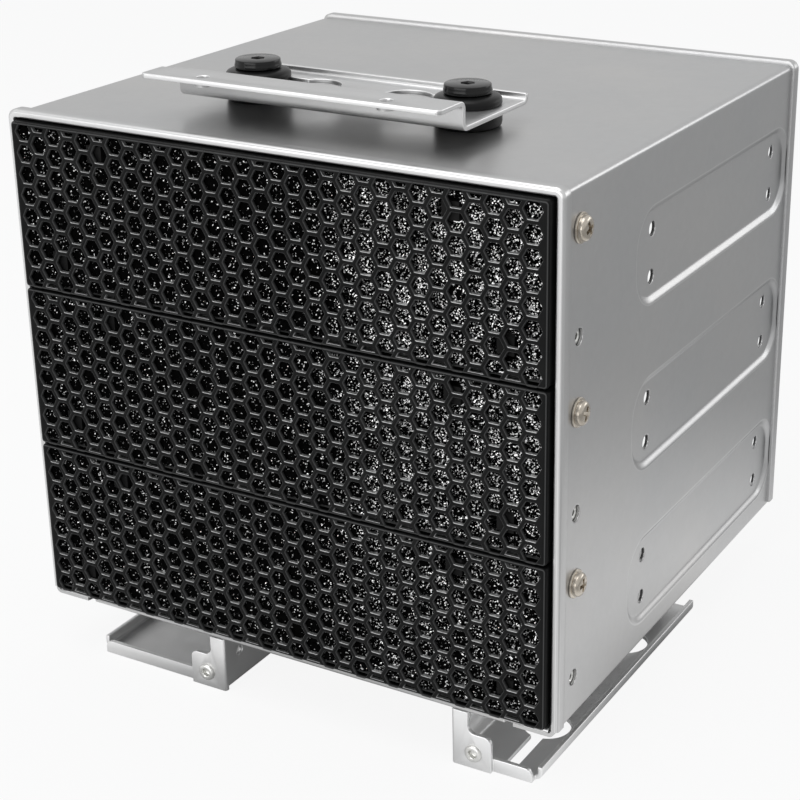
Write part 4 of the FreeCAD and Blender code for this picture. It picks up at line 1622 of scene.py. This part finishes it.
    def dress(self, finishes: Finishes) -> None:
        """Puts screws and rivets in place of their solids.

        Args:
            finishes: Every finish.
        """
        recipe = fastener_recipe()
        along_x, along_y, along_z = (1.0, 0.0, 0.0), (0.0, 1.0, 0.0), (0.0, 0.0, 1.0)
        bays = (len(Bay), (0.0, 0.0, self.bay_pitch))
        for side in Side:
            label = side.name.lower()
            first = (side.value * WALL, EAR_PLACE, self.first_screw)
            screw = self.screw(side, finishes.nickel)
            screws = self.group("flanged_screws_" + label, recipe, screw, first, bays, along_x)
            place(screws, "cage", Slot.SCREW, "frame_screws_" + label)
            first = (side.value * (WALL - self.insert_back), EAR_PLACE, self.first_insert)
            insert = self.insert(side, finishes.rivet)
            inserts = self.group("thread_inserts_" + label, recipe, insert, first, bays, along_x)
            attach(inserts, "cage")
            LOG.info("%s sit in the spare screw holes", inserts.name)
        flat_rivets = (
            ("plate_rivets", -self.cage_rivet_across, self.cage_rivet_across, self.cage_rivet_rows),
            ("rail_rivets", *self.rail_rivet_columns, self.rail_rivet_rows),
        )
        for name, left, right, (start, step) in flat_rivets:
            first = (left, start, self.plate_under)
            along = (3, (0.0, step, 0.0))
            across = (2, (right - left, 0.0, 0.0))
            rivet = self.rivet(finishes.rivet)
            rivets = self.group("round_" + name, recipe, rivet, first, along, along_z, across)
            place(rivets, "cage", Slot.RIVET, name)
        left, right = self.corner_columns
        first = (left, FRONT, self.corner_height)
        pair = (2, (right - left, 0.0, 0.0))
        blind = self.blind_rivet(finishes.rivet)
        corners = self.group("blind_corner_rivets", recipe, blind, first, pair, along_y)
        place(corners, "cage", Slot.RIVET, "corner_rivets")


@dataclass
class BracketMount:
    """Z-shaped bracket on its two rubber grommets and shoulder screws."""

    spread: float = 30.0
    along: float = -29.6
    base: float = TOP
    lift: float = 4.0
    plate: float = 1.2
    height: float = 7.8
    head_top: float = 10.2
    socket: float = 3.0
    socket_depth: float = 1.6
    socket_edge: float = 0.2
    socket_over: float = 0.3
    socket_flare: float = 0.35
    round_steps: int = 64
    ease: float = 0.16

    # Turned sections, as radius and height over the cage's top
    bush_foot: Profile = ((3.1, 0.0), (6.9, 0.0), (7.6, 0.15), (8.05, 0.6), (8.2, 1.3), (8.2, 2.9))
    bush_waist: Profile = ((8.05, 3.6), (7.6, 4.0), (5.1, 4.0))
    shank: Profile = ((0.0, -2.4), (1.8, -2.4), (2.0, -2.2), (2.0, 0.0), (3.0, 0.0))

    # The same over the bracket's base
    bush_flange: Profile = ((5.1, 0.0), (7.6, 0.0), (8.05, 0.2), (8.2, 0.6), (8.12, 1.5))
    bush_round: Profile = ((7.8, 1.95), (7.1, 2.3))

    # The same over the grommet's top
    bush_top: Profile = ((6.0, 0.0), (3.1, 0.0))
    head_foot: Profile = ((3.0, 0.0), (4.9, 0.0), (5.5, 0.12), (5.85, 0.4), (5.9, 0.75))
    head_side: Profile = ((5.82, 1.1), (5.68, 1.7))

    # The same from the top of the screw's head
    head_edge: Profile = ((5.66, -0.25), (5.58, -0.08), (5.4, 0.0), (0.0, 0.0))

    def grommet(self, name: str, finish: Material) -> Piece:
        """Rubber bush with a flange on each side of the bracket's base.

        Args:
            name: Name of the bush.
            finish: Finish of the rubber.

        Returns:
            The bush's object about the middle of its foot.
        """
        profile = list(self.bush_foot + self.bush_waist)
        profile += shifted(self.bush_flange + self.bush_round, 0.0, self.lift + self.plate)
        profile += shifted(self.bush_top, 0.0, self.height) + [self.bush_foot[0]]
        build = Build()
        build.strip(turned_rings(profile, self.round_steps), True)
        return build.piece(name, finish)

    def shoulder_screw(self, name: str, finish: Material) -> Piece:
        """Flat-headed shoulder screw with a hexagon socket.

        Args:
            name: Name of the screw.
            finish: Finish of the screw.

        Returns:
            The screw's object about the foot of its shoulder.
        """
        top = self.head_top
        profile = list(self.shank) + shifted(self.head_foot + self.head_side, 0.0, self.height)
        profile += shifted(self.head_edge, 0.0, top)
        body = lathe(profile, self.round_steps).piece(name, finish)
        spoke = self.socket / math.sqrt(3)
        hexagon = [(spoke, top - self.socket_depth), (spoke, top - self.socket_edge)]
        hexagon.append((spoke + self.socket_flare, top + self.socket_over))
        socket = Build()
        socket.solid(turned_rings(hexagon, 6))
        return carved(body, socket.piece("socket", finish), finish)

    def dress(self, finishes: Finishes) -> None:
        """Finishes the bracket and puts grommets and screws in place of their solids.

        Args:
            finishes: Every finish.
        """
        bracket = eased("top_bracket", "z_bracket", finishes.bracket, self.ease, self.plate)
        place(bracket, "cage", Slot.RAIL, "top_bracket")
        finish_node("clinch_nuts", finishes.rivet)
        for side in Side:
            label = side.name.lower()
            spot = Matrix.Translation((side.value * self.spread * MM, self.along * MM, self.base * MM))
            bush = self.grommet("rubber_bush_" + label, finishes.rubber)
            bush.data.transform(spot)
            place(bush, "cage", Slot.RUBBER, "grommet_" + label)
            screw = self.shoulder_screw("socket_screw_" + label, finishes.oxide)
            screw.data.transform(spot)
            place(screw, "cage", Slot.OXIDE, "shoulder_screw_" + label)


@dataclass
class Rails:
    """Two channel rails that the cage stands on."""

    sheet: float = 1.2
    ease: float = 0.16

    def dress(self, finishes: Finishes) -> None:
        """Puts both rails, with eased edges, in place of their solids.

        Args:
            finishes: Every finish.
        """
        for side in Side:
            label = side.name.lower()
            rail = eased("rail_" + label, "channel_rail_" + label, finishes.rail, self.ease, self.sheet)
            place(rail, "cage", Slot.RAIL, "rail_" + label)


@dataclass(frozen=True)
class Lamp:
    """Soft rectangular lamp, with its places and sizes in metres."""

    name: str
    spot: Point
    aim: Point
    size: Flat
    watts: float

    def light(self) -> None:
        """Adds the lamp to the scene."""
        data = bpy.data.lights.new(self.name, "AREA")
        data.shape = "RECTANGLE"
        data.size, data.size_y = self.size
        data.energy = self.watts
        lamp = added(self.name, data)
        lamp.location = self.spot
        lamp.rotation_euler = (Vector(self.aim) - Vector(self.spot)).to_track_quat("-Z", "Y").to_euler()


@dataclass
class Studio:
    """Pale floor, soft lights and the camera of the photograph, with places and reaches in metres."""

    floor_reach: float = 6.0
    floor_levels: Flat = (0.9, 0.93)
    floor_roughness: float = 0.9
    floor_specular: float = 0.1
    haze_size: float = 240.0
    backdrop_share: float = 0.9
    # Painted shadow and falloff of the floor, seen only in reflections: dark under the object, dimming
    # further out except in front and to the left
    shadow_reach: float = 0.07
    bright_from: float = 0.1
    front_reach: float = 0.09
    bright_reach: float = 0.11
    dim_reach: float = 0.22
    shadow_level: float = 0.12
    dim_level: float = 0.42
    backdrop: float = 0.76
    soft_level: float = 0.38
    soft_colour: Colour = (0.95, 0.98, 1.0, 1.0)
    eye: Point = (0.23592, -0.39834, 0.25261)
    look: Point = (-0.44895, 0.81619, -0.3637)
    right: Point = (0.87685, 0.48076, -0.00349)
    nearest: float = 0.01
    focal_pixels: float = 1821.7
    frame_pixels: float = 800.0
    sensor: float = 36.0
    middle_pixel: Flat = (480.3, 359.6)
    lamps: tuple[Lamp, ...] = (
        Lamp("overhead", (-0.1, -0.25, 1.1), (0.05, 0.0, 0.1), (0.9, 0.9), watts=4.5),
        Lamp("back_right", (1.0, 1.3, 0.5), (0.05, 0.05, 0.08), (0.9, 0.5), watts=2.0),
        Lamp("front", (-0.2, -1.3, 0.35), (0.0, 0.0, 0.06), (1.4, 0.6), watts=5.0),
    )

    def floor_finish(self) -> Material:
        """Matte floor that shows as a white backdrop, with a painted shadow under the object and a painted
        falloff further out, both seen only in reflections.

        Returns:
            The material.
        """
        shade = Shade("pale_floor")
        levels = [grey(level) for level in self.floor_levels]
        shade.set(
            Base_Color=shade.blended(shade.noise(self.haze_size), *levels),
            Roughness=self.floor_roughness,
            Specular_IOR_Level=self.floor_specular,
        )
        path = shade.add("ShaderNodeLightPath", {}).outputs
        clear = shade.sum("MAXIMUM", path["Is Camera Ray"], path["Is Transmission Ray"])
        seen = shade.sum("MAXIMUM", clear, path["Is Glossy Ray"])
        # Painted shadow under the object and painted falloff away from the front, seen only in reflections
        away = shade.length(shade.place)
        below = shade.ranged(away, self.shadow_reach, self.bright_from, self.shadow_level, 1.0)
        ahead = (-self.front_reach, -self.front_reach, 0.0)
        behind = shade.length(shade.vector("MAXIMUM", shade.place, ahead))
        painted_falloff = shade.ranged(behind, self.bright_reach, self.dim_reach, 1.0, self.dim_level)
        strength = shade.sum("MAXIMUM", clear, shade.sum("MINIMUM", below, painted_falloff))
        white = shade.add("ShaderNodeEmission", {"Strength": strength}).outputs[0]
        share = shade.ranged(seen, 0.0, 1.0, 0.0, self.backdrop_share)
        both = shade.add("ShaderNodeMixShader", {0: share, 1: shade.surface.outputs[0], 2: white})
        shade.fill(shade.tree.nodes["Material Output"], {"Surface": both.outputs[0]})
        return shade.material

    def floor(self) -> None:
        """Makes the floor."""
        reach = self.floor_reach
        corners = [(-reach, -reach, 0.0), (reach, -reach, 0.0), (reach, reach, 0.0), (-reach, reach, 0.0)]
        mesh = bpy.data.meshes.new("floor")
        mesh.from_pydata(corners, [], [(0, 1, 2, 3)])
        mesh.materials.append(self.floor_finish())
        floor = added("floor", mesh)

    def world(self) -> None:
        """Lights the scene from all sides, with a white backdrop behind the object and in its reflections."""
        world = bpy.data.worlds.new("studio")
        world.use_nodes = True
        world.node_tree.nodes.clear()
        nodes = Nodes(world.node_tree)
        path = nodes.add("ShaderNodeLightPath", {}).outputs
        seen = nodes.sum("MAXIMUM", path["Is Camera Ray"], path["Is Glossy Ray"])
        clear = nodes.sum("MAXIMUM", seen, path["Is Transmission Ray"])
        soft = nodes.add("ShaderNodeBackground", {"Color": self.soft_colour, "Strength": self.soft_level})
        white = nodes.add("ShaderNodeBackground", {"Color": grey(1.0), "Strength": self.backdrop})
        choice = nodes.add("ShaderNodeMixShader", {0: clear, 1: soft.outputs[0], 2: white.outputs[0]})
        nodes.add("ShaderNodeOutputWorld", {"Surface": choice.outputs[0]})
        bpy.context.scene.world = world

    def camera(self) -> None:
        """Sets the camera at the photograph's place and angle."""
        data = bpy.data.cameras.new("camera")
        data.sensor_width = self.sensor
        data.lens = self.focal_pixels * self.sensor / self.frame_pixels
        half = self.frame_pixels / 2
        data.shift_x = (half - self.middle_pixel[0]) / self.frame_pixels
        data.shift_y = (self.middle_pixel[1] - half) / self.frame_pixels
        data.clip_start = self.nearest
        ahead = Vector(self.look).normalized()
        right = Vector(self.right)
        right = (right - ahead * right.dot(ahead)).normalized()
        turn = Matrix((right, right.cross(ahead), -ahead)).transposed().to_4x4()
        camera = added("camera", data)
        camera.matrix_world = Matrix.Translation(self.eye) @ turn
        bpy.context.scene.camera = camera

    def set_up(self) -> None:
        """Makes the whole studio."""
        self.floor()
        self.world()
        for lamp in self.lamps:
            lamp.light()
        self.camera()
        bpy.context.scene.view_settings.view_transform = "Standard"


def place(piece: Piece, body: str, slot: Slot, node: str) -> None:
    """Puts a finished piece on its body, in place of a solid.

    Args:
        piece: The piece.
        body: Body that it moves with.
        slot: Not used.
        node: Solid that it stands for.
    """
    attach(piece, body)
    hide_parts(node)
    LOG.info("%s stands for %s on %s: %d faces", piece.name, node, body, len(piece.data.polygons))


# How the edges of sheet-metal solids are eased
NEAR_CORNERS = 0.03 * MM
FLAT_ANGLE = math.radians(0.5)
SHARP_ANGLE = math.radians(40)
EASED_CREASE = 50.0
LONG_SIDE = 0.6
# Share painted bright on cut edges, partly wear and partly painted highlight
CUT_SHINE = 0.75


def pinched(vert: bmesh.types.BMVert, sharp: set[bmesh.types.BMEdge]) -> bool:
    """Whether two sharp edges leave a corner too close together to be eased.

    Args:
        vert: The corner.
        sharp: The sharp edges of the solid.

    Returns:
        True where the angle between them is too small.
    """
    ways = [edge.other_vert(vert).co - vert.co for edge in vert.link_edges if edge in sharp]
    pairs = itertools.combinations(ways, 2)
    return any(first.angle(second, 0.0) < SHARP_ANGLE for first, second in pairs)


def paint_edges_bright(work: bmesh.types.BMesh, rounds: set[bmesh.types.BMFace], sheet: float) -> None:
    """Paints the eased edges of a sheet, and its cut edges between them, bright: partly wear, partly painted
    highlight.

    Args:
        work: The eased sheet.
        rounds: Faces that the easing made.
        sheet: Thickness of the sheet.
    """
    rubbed_and_highlit = work.faces.layers.float["burnish"]
    for face in work.faces:
        if face in rounds:
            face[rubbed_and_highlit] = 1.0
            continue
        longest = max(edge.calc_length() for edge in face.edges)
        sides = [edge for edge in face.edges if edge.calc_length() > LONG_SIDE * longest]
        beside = [other in rounds for edge in sides for other in edge.link_faces if other is not face]
        if all(beside) and face.calc_area() / longest < sheet * MM:
            face[rubbed_and_highlit] = CUT_SHINE


def eased(node: str, name: str, material: Material, ease: float, sheet: float) -> Piece:
    """Copy of a sheet-metal solid with its sharp edges eased and painted bright, partly wear and partly
    painted highlight.

    Args:
        node: The solid.
        name: Name of the copy.
        material: Its finish.
        ease: Width of the eased edge.
        sheet: Thickness of the sheet, whose cut edges are painted bright too.

    Returns:
        The copy.
    """
    work = bmesh.new()
    work.from_mesh(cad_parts[node].data)
    bmesh.ops.remove_doubles(work, verts=work.verts, dist=NEAR_CORNERS)
    bmesh.ops.dissolve_limit(work, angle_limit=FLAT_ANGLE, verts=work.verts, edges=work.edges)
    bmesh.ops.recalc_face_normals(work, faces=work.faces)
    low = [min(vert.co[axis] for vert in work.verts) for axis in range(3)]
    high = [max(vert.co[axis] for vert in work.verts) for axis in range(3)]
    sharp = {edge for edge in work.edges if edge.is_manifold and edge.calc_face_angle() > SHARP_ANGLE}
    narrow = {vert for vert in work.verts if pinched(vert, sharp)}
    worn = [edge for edge in work.edges if edge in sharp and not narrow.intersection(edge.verts)]
    work.faces.layers.float.new("burnish")
    made = bmesh.ops.bevel(work, geom=worn, offset=ease * MM, segments=2, profile=0.5, affect="EDGES")
    for vert in work.verts:
        vert.co = [min(max(vert.co[axis], low[axis]), high[axis]) for axis in range(3)]
    paint_edges_bright(work, set(made["faces"]), sheet)
    mesh = bpy.data.meshes.new(name)
    work.to_mesh(mesh)
    work.free()
    if "custom_normal" in mesh.attributes:
        mesh.attributes.remove(mesh.attributes["custom_normal"])
    return shown(name, mesh, material, EASED_CREASE)


def finish_node(node: str, material: Material) -> None:
    """Gives a solid that stays its finish."""
    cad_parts[node].material_slots[0].material = material
    LOG.info("%s keeps its solid", node)


def main() -> None:
    """Builds and dresses every sub-assembly, then the studio."""
    logging.basicConfig(level=logging.INFO, format="%(name)s: %(message)s")
    finishes = Finishes()
    Cage().dress(finishes)
    Covers().dress(finishes)
    Fasteners().dress(finishes)
    BracketMount().dress(finishes)
    Rails().dress(finishes)
    Studio().set_up()


if __name__ == "__main__":
    main()
